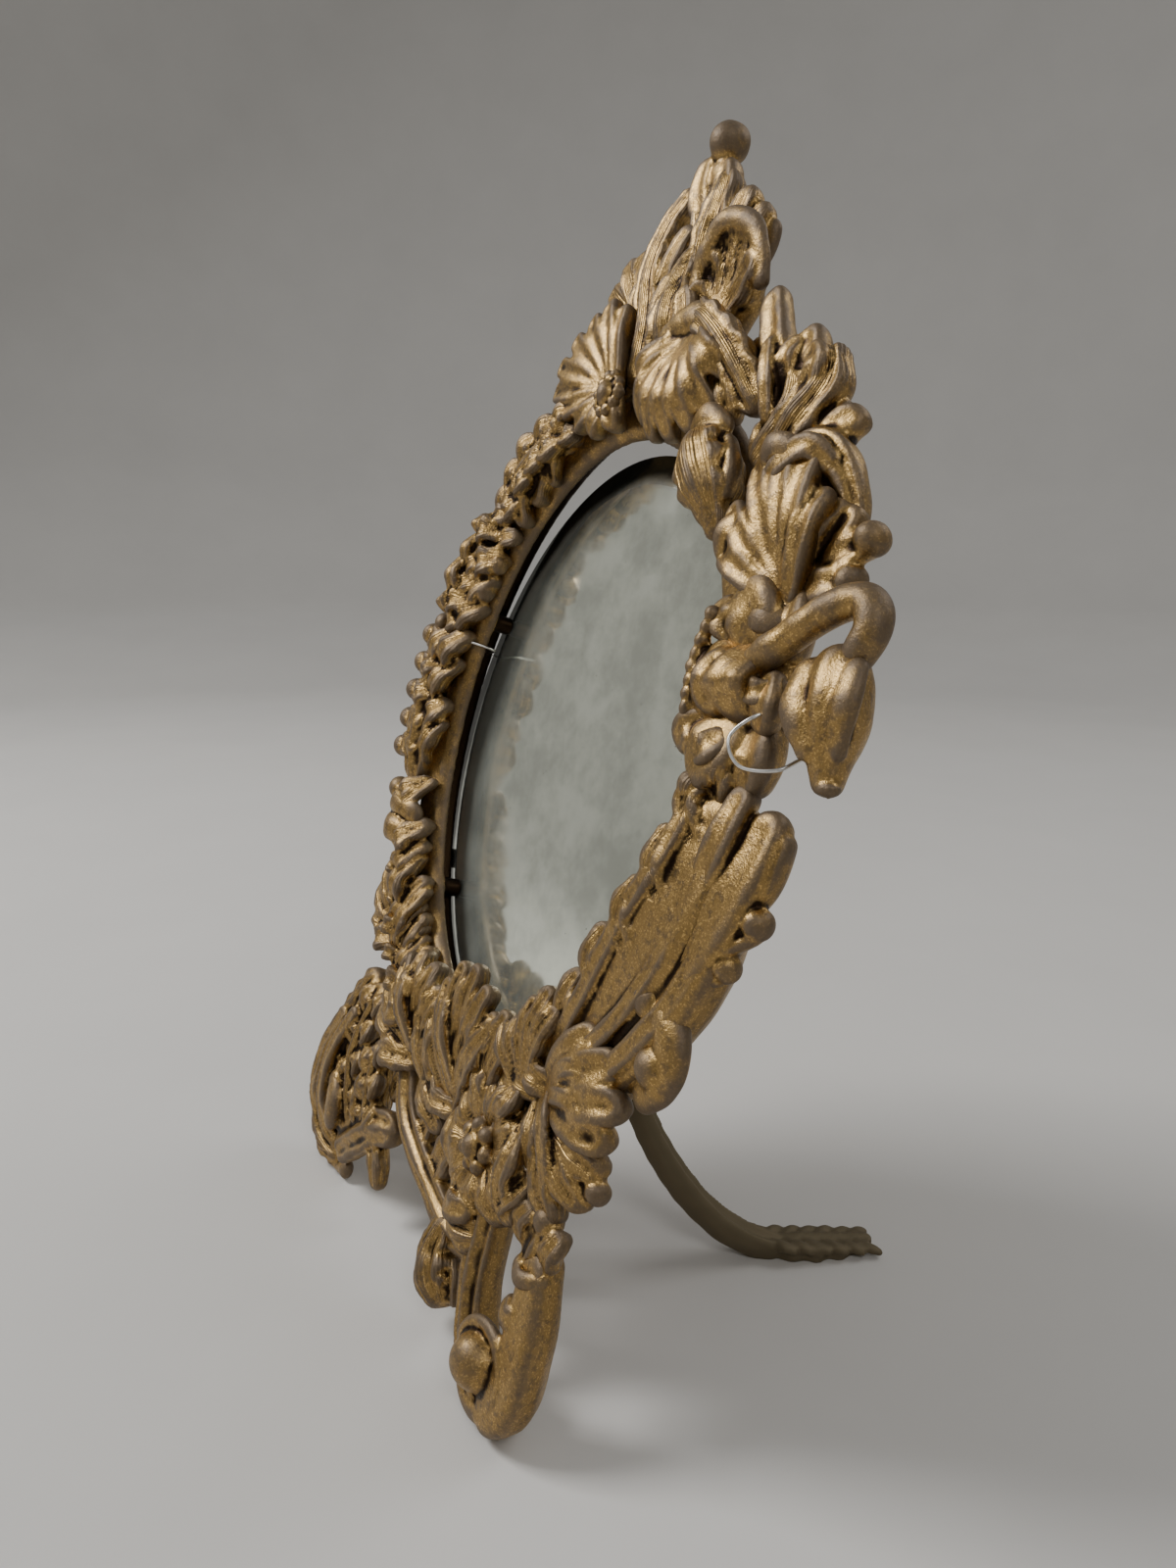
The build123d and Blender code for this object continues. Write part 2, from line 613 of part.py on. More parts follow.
with BuildPart() as rosette_petals:
    fan(
        BASE,
        (11, -8, 9),
        [(24, -20, 7), (31, -8, 7), (22, 8, 7), (-2, 4, 7), (-4, -14, 7), (8, -24, 7)],
        10,
    )
    clear_of(rim_ring, corner_leaves, hanging_leaf, right_palmette)
finish(rosette_petals, "rosette_petals")

with BuildPart() as berry_cluster:
    with BuildSketch(BASE.offset(10)):
        with Locations((11, -8)):
            Circle(4)
            with PolarLocations(6, 7):
                Circle(3.4)
    extrude(amount=6, taper=DRAFT)
finish(berry_cluster, "berry_cluster")

with BuildPart() as centre_shell:
    fan(BASE, (-22, -6, 7), [(-32, 24, 6), (-25, 34, 6), (-14, 32, 6), (-5, 24, 6)], 13)
    clear_of(rim_ring, rosette_petals, right_palmette)
finish(centre_shell, "centre_shell")

with BuildPart() as base_leaves:
    fan(BASE_LEFT, (4, -6, 8), [(12, 14, 6), (-2, 20, 6), (-16, 16, 6), (-20, -2, 6), (-10, -16, 6)], 12)
    clear_of(rim_ring, centre_shell)
finish(base_leaves, "base_leaves")

# ---------------------------------------------------------------- feet
# Heights on the feet are shares of the way from the table to the rim.
RIGHT_FOOT = face_plane(FOOT_SPACING / 2, 0)
LEFT_FOOT = face_plane(-FOOT_SPACING / 2, 0)
MIDDLE = face_plane(0, 0)


def rise(share):
    """A height above the table, on the way up to the rim."""
    return share * TABLE_TO_RIM


with BuildPart() as right_foot:
    strand(
        RIGHT_FOOT,
        [(-27, rise(0.84), 8), (-27, rise(0.5), 6.5), (-17, rise(0.2), 7), (0, rise(0.06), 8)],
        11,
    )
    strand(
        RIGHT_FOOT,
        [(-14, rise(0.84), 7), (3, rise(0.6), 7), (8, rise(0.26), 8), (0, rise(0.04), 8)],
        11,
    )
    with BuildSketch(RIGHT_FOOT):
        with Locations((-7, rise(0.24))):
            Circle(9.5)
    extrude(amount=15, taper=DRAFT)
    split(bisect_by=TABLE, keep=Keep.TOP)
    clear_of(rim_ring, rosette_petals, berry_cluster, hanging_leaf)
finish(right_foot, "right_foot")

with BuildPart() as foot_bud:
    lobe(RIGHT_FOOT, (-2, rise(0.78), 5), (0, rise(0.84), 5), 10)
    ball(RIGHT_FOOT, 0, rise(0.88), 8, 6)
    clear_of(right_foot, rosette_petals, hanging_leaf)
finish(foot_bud, "foot_bud")

with BuildPart() as base_strand:
    strand(
        MIDDLE,
        [(-36, rise(0.9), 8), (-22, rise(0.66), 6.5), (4, rise(0.52), 6), (24, rise(0.46), 5.5), (44, rise(0.5), 6)],
        9,
    )
    lobe(MIDDLE, (4, rise(0.56), 6), (10, rise(0.8), 7), 8)
    clear_of(rim_ring, right_foot, rosette_petals, base_leaves, centre_shell)
finish(base_strand, "base_strand")

with BuildPart() as pendant_bulb:
    lobe(MIDDLE, (21, rise(0.38), 4), (22, rise(0.26), 4), 9)
    ball(MIDDLE, 22, rise(0.22), 7, 8.5)
    clear_of(base_strand, right_foot)
finish(pendant_bulb, "pendant_bulb")

with BuildPart() as left_foot:
    strand(
        LEFT_FOOT,
        [(0, rise(0.1), 9), (-17, rise(0.34), 12), (-16, rise(0.74), 12), (0, rise(1.15), 10)],
        10,
    )
    strand(LEFT_FOOT, [(0, rise(0.14), 9), (17, rise(0.36), 9), (38, rise(0.52), 8)], 9)
    strand(LEFT_FOOT, [(10, rise(0.34), 10), (2, rise(0.7), 12), (6, rise(1.1), 10)], 7)
    split(bisect_by=TABLE, keep=Keep.TOP)
    clear_of(rim_ring, base_strand, base_leaves)
finish(left_foot, "left_foot")

# ---------------------------------------------------------------- left side
LEFT_LOW = station(-140)
LEFT_COLLAR = station(-157)
LEFT_MIDDLE = station(180)
LEFT_HIGH = station(155)
LEFT_TOP = station(125)

with BuildPart() as left_lower_leaves:
    fan(LEFT_LOW, (2, -12, 8), [(-18, -10, 6), (-22, 4, 6), (-12, 14, 6)], 8)
    clear_of(rim_ring, left_foot)
finish(left_lower_leaves, "left_lower_leaves")

with BuildPart() as left_garland:
    for angle in (-122, -129, -136, -143, -150):
        lobe(station(angle), (-2, -1, 6), (10, 9, 6), 11)
    clear_of(rim_ring, left_foot, left_lower_leaves, base_leaves)
finish(left_garland, "left_garland")

with BuildPart() as left_collar:
    lobe(LEFT_COLLAR, (-10, 2, 9), (16, -2, 8), 14)
    clear_of(rim_ring, left_garland, left_lower_leaves)
finish(left_collar, "left_collar")

with BuildPart() as left_ribbon:
    strand(LEFT_MIDDLE, [(-2, -26, 7), (-8, -2, 9), (-2, 22, 8)], 10)
    for v in (-22, -12, 0, 14):
        lobe(LEFT_MIDDLE, (-8, v, 4.5), (-22, v, 4.5), 8)
    clear_of(rim_ring, left_collar, wire_room)
finish(left_ribbon, "left_ribbon")

with BuildPart() as left_spray:
    strand(LEFT_HIGH, [(-6, -20, 8), (-6, 0, 8), (4, 20, 8)], 10)
    lobe(LEFT_HIGH, (-6, -14, 5), (-20, -12, 5), 8)
    lobe(LEFT_HIGH, (-4, 6, 5), (-16, 12, 5), 8)
    lobe(LEFT_HIGH, (-2, -6, 5), (14, -8, 5), 12)
    clear_of(rim_ring, left_ribbon, wire_room)
finish(left_spray, "left_spray")

with BuildPart() as left_shoulder:
    strand(LEFT_TOP, [(-8, -18, 7), (0, -6, 8), (14, 2, 8), (26, 8, 7)], 11)
    lobe(LEFT_TOP, (-4, -4, 6), (-10, 6, 5), 8)
    clear_of(rim_ring, left_spray, daisy_petals)
finish(left_shoulder, "left_shoulder")
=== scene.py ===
import json
import math
import random

import bpy
import numpy as np
from mathutils import Matrix, Vector


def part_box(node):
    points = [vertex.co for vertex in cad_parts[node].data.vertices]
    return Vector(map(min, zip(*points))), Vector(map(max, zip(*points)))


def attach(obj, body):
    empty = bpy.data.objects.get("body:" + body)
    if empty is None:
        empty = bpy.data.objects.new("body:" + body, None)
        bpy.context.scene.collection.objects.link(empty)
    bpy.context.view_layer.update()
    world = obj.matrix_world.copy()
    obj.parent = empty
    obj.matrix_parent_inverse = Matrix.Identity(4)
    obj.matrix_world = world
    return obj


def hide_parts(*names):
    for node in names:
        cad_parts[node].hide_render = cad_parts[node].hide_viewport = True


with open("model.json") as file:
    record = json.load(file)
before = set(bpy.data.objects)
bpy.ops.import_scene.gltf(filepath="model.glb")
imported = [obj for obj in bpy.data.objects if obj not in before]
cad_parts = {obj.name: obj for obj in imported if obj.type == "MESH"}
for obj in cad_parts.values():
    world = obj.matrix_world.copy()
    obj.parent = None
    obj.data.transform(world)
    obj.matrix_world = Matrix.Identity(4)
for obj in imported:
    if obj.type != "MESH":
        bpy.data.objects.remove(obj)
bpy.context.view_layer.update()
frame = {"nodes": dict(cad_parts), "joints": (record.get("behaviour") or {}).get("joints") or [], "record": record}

bl_info = {
    "name": "Rococo easel mirror",
    "version": (1, 0, 0),
    "blender": (4, 5, 0),
    "location": "View3D > Sidebar > Easel Mirror",
    "description": "A table mirror in a cast frame of leaves and flowers, on two feet and a folding strut",
    "category": "Add Mesh",
}

# ------------------------------------------------------------------ the frame's own plane
# The castings are drawn in millimetres: u to the right, v up the leaning face, n towards the viewer.
MM = 0.001
PAD_TO_HEEL = 5 * MM            # from the right foot's pad back to where the leaning plane meets the table
mounts = {mount["name"]: Vector(mount["pos_m"]) for mount in frame["record"]["mounts"]}
hinge = frame["joints"][0]
hinge_axis = Vector(hinge["axis"])
LEAN = math.atan2(hinge_axis.z, -hinge_axis.y)
FEET_MIDDLE = (mounts["right_foot_pad"].x + mounts["left_foot_pad"].x) / 2
HEEL_Y = mounts["right_foot_pad"].y + PAD_TO_HEEL

UP_THE_FACE = Vector((0, math.sin(LEAN), math.cos(LEAN)))
OUT_OF_THE_FACE = Vector((0, -math.cos(LEAN), math.sin(LEAN)))


def axes(right, up, out, origin):
    """The matrix that takes millimetres along three directions to the row frame's metres."""
    turn = Matrix((right, up, out)).transposed() * MM
    return Matrix.Translation(origin) @ turn.to_4x4()


FACE = axes(Vector((1, 0, 0)), UP_THE_FACE, OUT_OF_THE_FACE, Vector((FEET_MIDDLE, HEEL_Y, 0)))
STRUT = axes(UP_THE_FACE.cross(hinge_axis), UP_THE_FACE, hinge_axis, Vector(hinge["pos_m"]))

# the oval rim, from the middle of the feet
OVAL_U = -1.0
OVAL_V = 190.0
RIM_HALF_WIDTH = 97.0
RIM_HALF_HEIGHT = 121.0
RIM_WIDTH = 20.0
GLASS_U = -4.0
GLASS_V = 182.0
GLASS_HALF_WIDTH = 88.0
GLASS_HALF_HEIGHT = 108.0
BEVEL_EDGE = 0.895              # where the bevel begins, as a share of the glass's half sizes

# ------------------------------------------------------------------ shapes of a casting
GIRTH = 32                      # points round a stroke
STEP = 0.9                      # millimetres between the rings of a stroke
UNDERSIDE = 1.35                # how far a stroke reaches back, in half-widths
KEEL = 0.45                     # how much narrower it is there
CRISP = 0.62                    # under 1, the section's shoulders are squarer than a round's
RUFFLE = 0.11                   # how much a leaf's edges wander in and out, in half-widths
RUFFLE_LENGTH = 8.5             # millimetres from one swelling of an edge to the next
VEIN_SPACING = 2.6              # millimetres from one vein to the next, round a leaf
VEIN_RELIEF = 0.11              # millimetres that they stand out
DENTS = 0.35                    # millimetres of unevenness in a casting
DENT_WAVELENGTHS = (7.0, 9.5, 13.0, 17.0)
PETAL_BELLY = 0.62              # where a petal is widest, as a share of its length
LOBE_WIDTH = 4.2                # half-width of a sprig's lobes
LOBE_LEAN = math.radians(52)    # between a lobe and the sprig's midrib
LOBE_LIFT = 3.5                 # how far a lobe's belly stands out from the midrib
NEAREST_BATCH = 4000            # points whose nearest stroke is looked for at a time


def leaf(*points, flutes=1, depth=0.5, thick=0.6, plain=False):
    """A swept stroke through (u, v, n, half-width) points: grooved and veined, or plain as a scroll is."""
    rough = 0 if plain or not flutes else 1
    return {"points": points, "flutes": flutes, "depth": depth, "thick": thick, "rough": rough}


def bead(u, v, n, radius):
    """A berry: a stroke as long as it is wide."""
    return leaf((u - radius, v, n, radius), (u + radius, v, n, radius), flutes=0, thick=1.0)


def ring_of_beads(u, v, n, reach, radius, count):
    """Berries at equal turns round a point."""
    turns = [2 * math.pi * i / count for i in range(count)]
    return [bead(u + reach * math.cos(t), v + reach * math.sin(t), n, radius) for t in turns]


def petals(root, tips, widths=(3.0, 5.5, 3.8), heights=(10, 13, 11), **shape):
    """Leaves that open out of one root, with widths and heights at the root, the belly and the tip."""
    made = []
    for tip in tips:
        middle = [a + (b - a) * PETAL_BELLY for a, b in zip(root, tip)]
        made.append(
            leaf(
                (*root, heights[0], widths[0]),
                (*middle, heights[1], widths[1]),
                (*tip, heights[2], widths[2]),
                **shape,
            )
        )
    return made


def on_oval(angle, out=0.0):
    """A point out from the rim's outer edge, at this angle round the oval."""
    turn = math.radians(angle)
    return (
        OVAL_U + (RIM_HALF_WIDTH + out) * math.cos(turn),
        OVAL_V + (RIM_HALF_HEIGHT + out) * math.sin(turn),
    )


def sprig(spine, reach, count):
    """A midrib with lobes along both its sides that curl forward: 1 is its left side and -1 its right."""
    rows = smooth_path(spine)
    made = [leaf(*spine, flutes=2)]
    for i in range(count):
        for side in (1, -1):
            share = (i + 0.15 + 0.3 * (side < 0)) / count
            here = int(share * (len(rows) - 2))
            u, v, n, girth = rows[here]
            run = rows[here + 1] - rows[here]
            heading = math.atan2(run[1], run[0]) + side * LOBE_LEAN
            far = girth * 0.6 + reach * (1 - 0.35 * share)
            bent = heading - side * 0.45
            belly = (u + 0.6 * far * math.cos(heading), v + 0.6 * far * math.sin(heading), n + LOBE_LIFT)
            tip = (u + far * math.cos(bent), v + far * math.sin(bent), n + LOBE_LIFT - 2)
            made.append(leaf((u, v, n, LOBE_WIDTH), (*belly, LOBE_WIDTH), (*tip, LOBE_WIDTH * 0.65)))
    return made


def over_rim(first, last, count, seed, out=4.0, inward=-17.0, width=5.0, height=12.0):
    """Leaves that lie one after another across the rim between two angles, each a little different."""
    chance = random.Random(seed)
    made = []
    for i in range(count):
        angle = first + (last - first) * (i + 0.5) / count
        skew = math.copysign(chance.uniform(2.5, 6.0), last - first)
        girth = width * chance.uniform(0.8, 1.2)
        root = on_oval(angle - skew, out + chance.uniform(-3, 3))
        belly = on_oval(angle, (out + inward) / 2)
        tip = on_oval(angle + skew, inward + chance.uniform(-2, 3))
        crown = height + chance.uniform(-2, 2)
        made.append(leaf((*root, 6, girth * 0.8), (*belly, crown, girth), (*tip, 7, girth * 0.65)))
    return made


def berries(angles, out, radius, height=8.0):
    """Berries along the rim's outer edge."""
    return [bead(*on_oval(angle, out), height, radius) for angle in angles]


def smooth_path(points):
    """Closely spaced (u, v, n, half-width) rows on a smooth curve through the points."""
    rows = np.array(points, float)
    if len(rows) == 2:
        rows = np.array([rows[0], rows.mean(0), rows[1]])
    rows = np.vstack([2 * rows[0] - rows[1], rows, 2 * rows[-1] - rows[-2]])
    made = []
    for a, b, c, d in zip(rows, rows[1:], rows[2:], rows[3:]):
        count = max(2, int(np.linalg.norm((c - b)[:3]) / STEP))
        for t in np.arange(count) / count:
            made.append(b + 0.5 * t * (c - a + t * (2 * a - 5 * b + 4 * c - d + t * (3 * (b - c) + d - a))))
    made.append(rows[-2])
    return np.array(made)


def swept(shape, across=None):
    """The vertices and faces of one stroke. Its width lies in the face, or along the given direction."""
    rows = smooth_path(shape["points"])
    places, widths = rows[:, :3], rows[:, 3].copy()
    run = np.gradient(places, axis=0)
    run /= np.linalg.norm(run, axis=1)[:, None]
    gone = np.concatenate([[0], np.cumsum(np.linalg.norm(np.diff(places, axis=0), axis=1))])
    near = np.minimum(gone, gone[-1] - gone)
    ends = np.where(gone < gone[-1] / 2, widths[0], widths[-1])
    fade = np.clip(near / np.maximum(ends, 0.5), 0, 1)
    widths *= np.sqrt(np.maximum(1 - (1 - fade) ** 2, 0.002))
    if across is None:
        side = np.cross([0, 0, 1], run)
        side[:, 2] = 0
        flat = np.linalg.norm(side, axis=1) < 0.05
        side[flat] = [1, 0, 0]
        side /= np.linalg.norm(side, axis=1)[:, None]
        up = np.where(flat[:, None], [0, 1, 0], [0, 0, 1]).astype(float)
    else:
        side = np.tile(np.array(across, float), (len(rows), 1))
        up = np.cross(run, side)
        up /= np.linalg.norm(up, axis=1)[:, None]
    turn = np.arange(GIRTH) * 2 * math.pi / GIRTH
    s, rise = np.cos(turn), np.sin(turn)
    flutes = shape["flutes"]
    girth = np.ones((len(rows), GIRTH))
    if flutes:
        wave = gone[:, None] * 2 * math.pi / RUFFLE_LENGTH + places[0, 0]
        girth += shape["rough"] * RUFFLE * np.sin(wave + 1.9 * np.sign(s)) * fade[:, None]
        girth *= 1 - KEEL * np.maximum(-rise, 0)
        rise = np.sign(rise) * np.abs(rise) ** CRISP
    groove = np.zeros(GIRTH)
    if flutes:
        groove = 0.5 - 0.5 * (-1) ** flutes * np.cos(math.pi * flutes * s)
    top = shape["thick"] * rise * (1 - shape["depth"] * groove * fade[:, None])
    under = UNDERSIDE if flutes else shape["thick"]
    height = np.where(rise > 0, top, under * rise) * widths[:, None]
    ring = (
        places[:, None, :]
        + side[:, None, :] * (s[None, :] * girth * widths[:, None])[:, :, None]
        + up[:, None, :] * height[:, :, None]
    )
    count = len(rows)
    first = np.arange(count - 1)[:, None] * GIRTH
    here, beside = np.arange(GIRTH), (np.arange(GIRTH) + 1) % GIRTH
    quads = np.stack([first + here, first + beside, first + GIRTH + beside, first + GIRTH + here], -1)
    faces = quads.reshape(-1, 4).tolist()
    faces.append(list(range(GIRTH))[::-1])
    faces.append(list(range((count - 1) * GIRTH, count * GIRTH)))
    lines = round(rows[:, 3].max() * 2 * math.pi / VEIN_SPACING)
    course = np.column_stack([places, side, up, rows[:, 3], np.full(count, lines), shape["rough"] * fade])
    return ring.reshape(-1, 3), faces, course


def vertex_array(mesh):
    """The mesh's vertices as rows of three numbers."""
    flat = np.empty(len(mesh.vertices) * 3)
    mesh.vertices.foreach_get("co", flat)
    return flat.reshape(-1, 3)


# after these rounds of averaging, this many millimetres are a full ridge
RELIEF_ROUNDS = {12: 0.26, 56: 0.9}


def mark_relief(mesh, floor=-math.inf):
    """Write how far each point stands out as the attribute relief: 0.5 where flat, -1 below the floor, which the
    wear paints as full shade.
    """
    here = vertex_array(mesh)
    count = len(here)
    normals = np.empty(count * 3)
    mesh.vertex_normals.foreach_get("vector", normals)
    pairs = np.empty(len(mesh.edges) * 2, np.int32)
    mesh.edges.foreach_get("vertices", pairs)
    a, b = pairs.reshape(-1, 2).T
    shared = (np.bincount(a, minlength=count) + np.bincount(b, minlength=count))[:, None]
    soft, rise = here.copy(), np.zeros(count)
    for turn in range(max(RELIEF_ROUNDS)):
        total = [np.bincount(a, soft[b, k], count) + np.bincount(b, soft[a, k], count) for k in range(3)]
        soft = 0.5 * soft + 0.5 * np.stack(total, 1) / shared
        if turn + 1 in RELIEF_ROUNDS:
            far = ((here - soft) * normals.reshape(-1, 3)).sum(1) / RELIEF_ROUNDS[turn + 1]
            rise += 0.6 * np.clip(far, -1, 1)
    # points below the floor get -1: painted shade in full
    relief = np.where(here[:, 2] < floor, -1, 0.5 + 0.5 * np.clip(rise, -1, 1))
    attribute = mesh.attributes.new("relief", "FLOAT", "POINT")
    attribute.data.foreach_set("value", relief.astype(np.float32))


def veins(here, course):
    """Each point's turn round the nearest stroke, times its number of veins, and their strength there."""
    places, side, up, widths, lines, strong = np.split(course, (3, 6, 9, 10, 11), axis=1)
    phase, strength = np.empty(len(here)), np.empty(len(here))
    for start in range(0, len(here), NEAREST_BATCH):
        batch = slice(start, start + NEAREST_BATCH)
        part = here[batch]
        gap = (part ** 2).sum(1)[:, None] + (places ** 2).sum(1) - 2 * part @ places.T
        near = (gap / widths.T ** 2).argmin(1)
        away = part - places[near]
        turn = np.arctan2((away * up[near]).sum(1), (away * side[near]).sum(1))
        phase[batch] = turn * lines[near, 0]
        strength[batch] = strong[near, 0]
    return phase, strength


def uneven(here, seed, size=DENTS):
    """Small hand-made dents and swellings, in millimetres, at a few wavelengths."""
    chance = random.Random(seed)
    shift = np.zeros(len(here))
    for wavelength in DENT_WAVELENGTHS:
        heading = np.array([chance.gauss(0, 1) for _ in range(3)])
        heading /= np.linalg.norm(heading)
        shift += np.sin(here @ heading * 2 * math.pi / wavelength + chance.uniform(0, 6.28))
    return shift * size / len(DENT_WAVELENGTHS)


def only(piece):
    """Make one piece the selected and active one."""
    bpy.ops.object.select_all(action="DESELECT")
    piece.select_set(True)
    bpy.context.view_layer.objects.active = piece


def casting(
    node, shapes, settings, to_row=FACE, body="frame", finish="aged_gilt", across=None
):
    """Join the shapes of a piece in one skin, soften it, mark its relief and put it in its node's place."""
    corners, faces, courses, start = [], [], [], 0
    for shape in shapes:
        ring, quads, course = swept(shape, across)
        corners.append(ring)
        courses.append(course)
        faces += [[start + i for i in face] for face in quads]
        start += len(ring)
    mesh = bpy.data.meshes.new(node + "_cast")
    mesh.from_pydata(np.vstack(corners).tolist(), [], faces)
    piece = bpy.data.objects.new(node + "_cast", mesh)
    bpy.context.scene.collection.objects.link(piece)
    only(piece)
    skin = piece.modifiers.new("skin", "REMESH")
    skin.mode = "VOXEL"
    skin.voxel_size = settings.grain / MM
    bpy.ops.object.modifier_apply(modifier="skin")
    soft = piece.modifiers.new("soft", "SMOOTH")
    soft.factor = 0.5
    soft.iterations = settings.softness
    bpy.ops.object.modifier_apply(modifier="soft")
    mesh = piece.data
    here = vertex_array(mesh)
    normals = np.empty(len(here) * 3)
    mesh.vertex_normals.foreach_get("vector", normals)
    phase, strength = veins(here, np.vstack(courses))
    lift = uneven(here, node) + VEIN_RELIEF * strength * np.sin(phase)
    here += normals.reshape(-1, 3) * lift[:, None]
    mesh.vertices.foreach_set("co", here.ravel())
    for name, values in (("vein", phase), ("veined", strength)):
        mesh.attributes.new(name, "FLOAT", "POINT").data.foreach_set("value", values.astype(np.float32))
    mesh.update()
    mark_relief(mesh)
    mesh.transform(to_row)
    row = vertex_array(mesh)
    row[:, 2] = np.maximum(row[:, 2], 0)
    mesh.vertices.foreach_set("co", row.ravel())
    bpy.ops.object.shade_smooth()
    settle(piece, node, body, finish)


def settle(piece, node, body, finish):
    """Give a finished piece its material and its body, and hide the CAD node that it stands for."""
    piece.data.materials.clear()
    piece.data.materials.append(bpy.data.materials[finish])
    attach(piece, body)
    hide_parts(node)


# ------------------------------------------------------------------ settings
class EaselMirrorSettings(bpy.types.PropertyGroup):
    """The sizes and colours of the mirror that a user would change"""

    grain: bpy.props.FloatProperty(
        name="Grain", description="Finest detail of the castings", default=0.0007, min=0.0004, unit="LENGTH"
    )
    softness: bpy.props.IntProperty(
        name="Softness", description="Rounds of smoothing on the castings", default=2, min=0, max=10
    )
    wire: bpy.props.FloatProperty(
        name="Tie wire", description="Radius of the tie wire", default=0.0005, min=0.0002, unit="LENGTH"
    )
    gold: bpy.props.FloatVectorProperty(
        name="Gold", description="Gilding left in the hollows", default=(0.32, 0.205, 0.075), subtype="COLOR"
    )
    ridge: bpy.props.FloatVectorProperty(
        name="Ridge", description="Worn metal on the ridges", default=(0.115, 0.085, 0.060), subtype="COLOR"
    )
    # this colour is painted shade, laid into the deep hollows of the castings
    crevice_shade: bpy.props.FloatVectorProperty(
        name="Crevice shade", description="Painted shade in deep places", default=(0.022, 0.012, 0.006), subtype="COLOR"
    )
    iron: bpy.props.FloatVectorProperty(
        name="Strut", description="Dark metal of the strut", default=(0.050, 0.029, 0.013), subtype="COLOR"
    )
    glass: bpy.props.FloatVectorProperty(
        name="Silvering", description="Tint of the old mirror", default=(0.93, 0.97, 0.85), subtype="COLOR"
    )
    stage: bpy.props.FloatVectorProperty(
        name="Floor", description="Pale floor and backdrop", default=(0.62, 0.60, 0.57), subtype="COLOR"
    )
    light: bpy.props.FloatProperty(
        name="Light", description="Power of the key light in watts", default=27.0, min=0.0
    )


# ------------------------------------------------------------------ materials
def wire_up(tree, kind, **values):
    """A new node with its values and its links: a socket as a value makes a link."""
    node = tree.nodes.new(kind)
    for name, value in values.items():
        if name.startswith("_"):
            setattr(node, name[1:], value)
            continue
        key = int(name[1:]) if name[0] == "i" and name[1:].isdigit() else name.replace("_", " ")
        if isinstance(value, bpy.types.NodeSocket):
            tree.links.new(value, node.inputs[key])
        else:
            node.inputs[key].default_value = value
    return node


def ramped(tree, value, low, high):
    """A smooth step of a value between low and high."""
    step = wire_up(
        tree,
        "ShaderNodeMapRange",
        _interpolation_type="SMOOTHSTEP",
        Value=value,
        From_Min=low,
        From_Max=high,
    )
    return step.outputs["Result"]


def sums(tree, operation, a, b):
    """Two values put together by a Math node."""
    return wire_up(tree, "ShaderNodeMath", _operation=operation, i0=a, i1=b).outputs[0]


def mixed(tree, share, a, b):
    """A colour between a and b."""
    node = wire_up(tree, "ShaderNodeMix", _data_type="RGBA", i0=share, i6=a, i7=b)
    return node.outputs[2]


def noise(tree, place, scale, detail=3.0, roughness=0.5):
    """A noise value at a scale per metre."""
    node = wire_up(tree, "ShaderNodeTexNoise", Vector=place, Scale=scale, Detail=detail, Roughness=roughness)
    return node.outputs["Fac"]


def rgba(colour):
    """A setting's colour as a socket value."""
    return (*colour, 1.0)


def build_wear_and_shade_group():
    """How an old casting wears: gilding in its hollows, bare metal on its ridges, and painted shade in its
    crevices.
    """
    group = bpy.data.node_groups.new("casting_wear_and_shade", "ShaderNodeTree")
    for name in ("Hollow", "Sparkle", "Ridge", "Crevice shade"):
        group.interface.new_socket(name, in_out="INPUT", socket_type="NodeSocketColor")
    group.interface.new_socket("Color", in_out="OUTPUT", socket_type="NodeSocketColor")
    for name in ("Worn", "Height"):
        group.interface.new_socket(name, in_out="OUTPUT", socket_type="NodeSocketFloat")
    given = group.nodes.new("NodeGroupInput")
    out = group.nodes.new("NodeGroupOutput")
    place = group.nodes.new("ShaderNodeTexCoord").outputs["Object"]
    relief = wire_up(group, "ShaderNodeAttribute", _attribute_name="relief").outputs["Fac"]
    blotch = noise(group, place, scale=70.0, detail=4.0, roughness=0.6)
    speck = noise(group, place, scale=1500.0, detail=2.0, roughness=0.7)
    grit = noise(group, place, scale=420.0, detail=3.0, roughness=0.6)
    wander = sums(group, "MULTIPLY", sums(group, "SUBTRACT", blotch, 0.5), 0.9)
    level = sums(group, "ADD", relief, wander)
    worn = ramped(group, level, low=0.62, high=1.05)
    # painted shade: the deepest hollows take the near-black colour
    deep = ramped(group, level, low=0.40, high=0.05)
    vein = wire_up(group, "ShaderNodeAttribute", _attribute_name="vein").outputs["Fac"]
    veined = wire_up(group, "ShaderNodeAttribute", _attribute_name="veined").outputs["Fac"]
    ripple = sums(group, "SINE", sums(group, "ADD", sums(group, "MULTIPLY", vein, 2.0), blotch), 0.0)
    ripple = sums(group, "MULTIPLY", ripple, sums(group, "MULTIPLY", veined, blotch))
    sparkle = ramped(group, speck, low=0.50, high=0.72)
    gilt = mixed(group, sparkle, given.outputs["Hollow"], given.outputs["Sparkle"])
    dull = sums(group, "MULTIPLY", ramped(group, grit, low=0.50, high=0.66), 0.55)
    gilt = mixed(group, dull, gilt, given.outputs["Ridge"])
    bare = mixed(group, sums(group, "MULTIPLY", worn, 0.85), gilt, given.outputs["Ridge"])
    # paints the shade colour over the metal in the hollows
    colour = mixed(group, deep, bare, given.outputs["Crevice shade"])
    group.links.new(colour, out.inputs["Color"])
    group.links.new(worn, out.inputs["Worn"])
    surface = sums(group, "ADD", speck, sums(group, "MULTIPLY", grit, 1.3))
    group.links.new(sums(group, "ADD", surface, sums(group, "MULTIPLY", ripple, 0.9)), out.inputs["Height"])


def new_material(name):
    """The node tree of a new material and its Principled shader."""
    material = bpy.data.materials.new(name)
    material.use_nodes = True
    return material.node_tree, material.node_tree.nodes["Principled BSDF"]


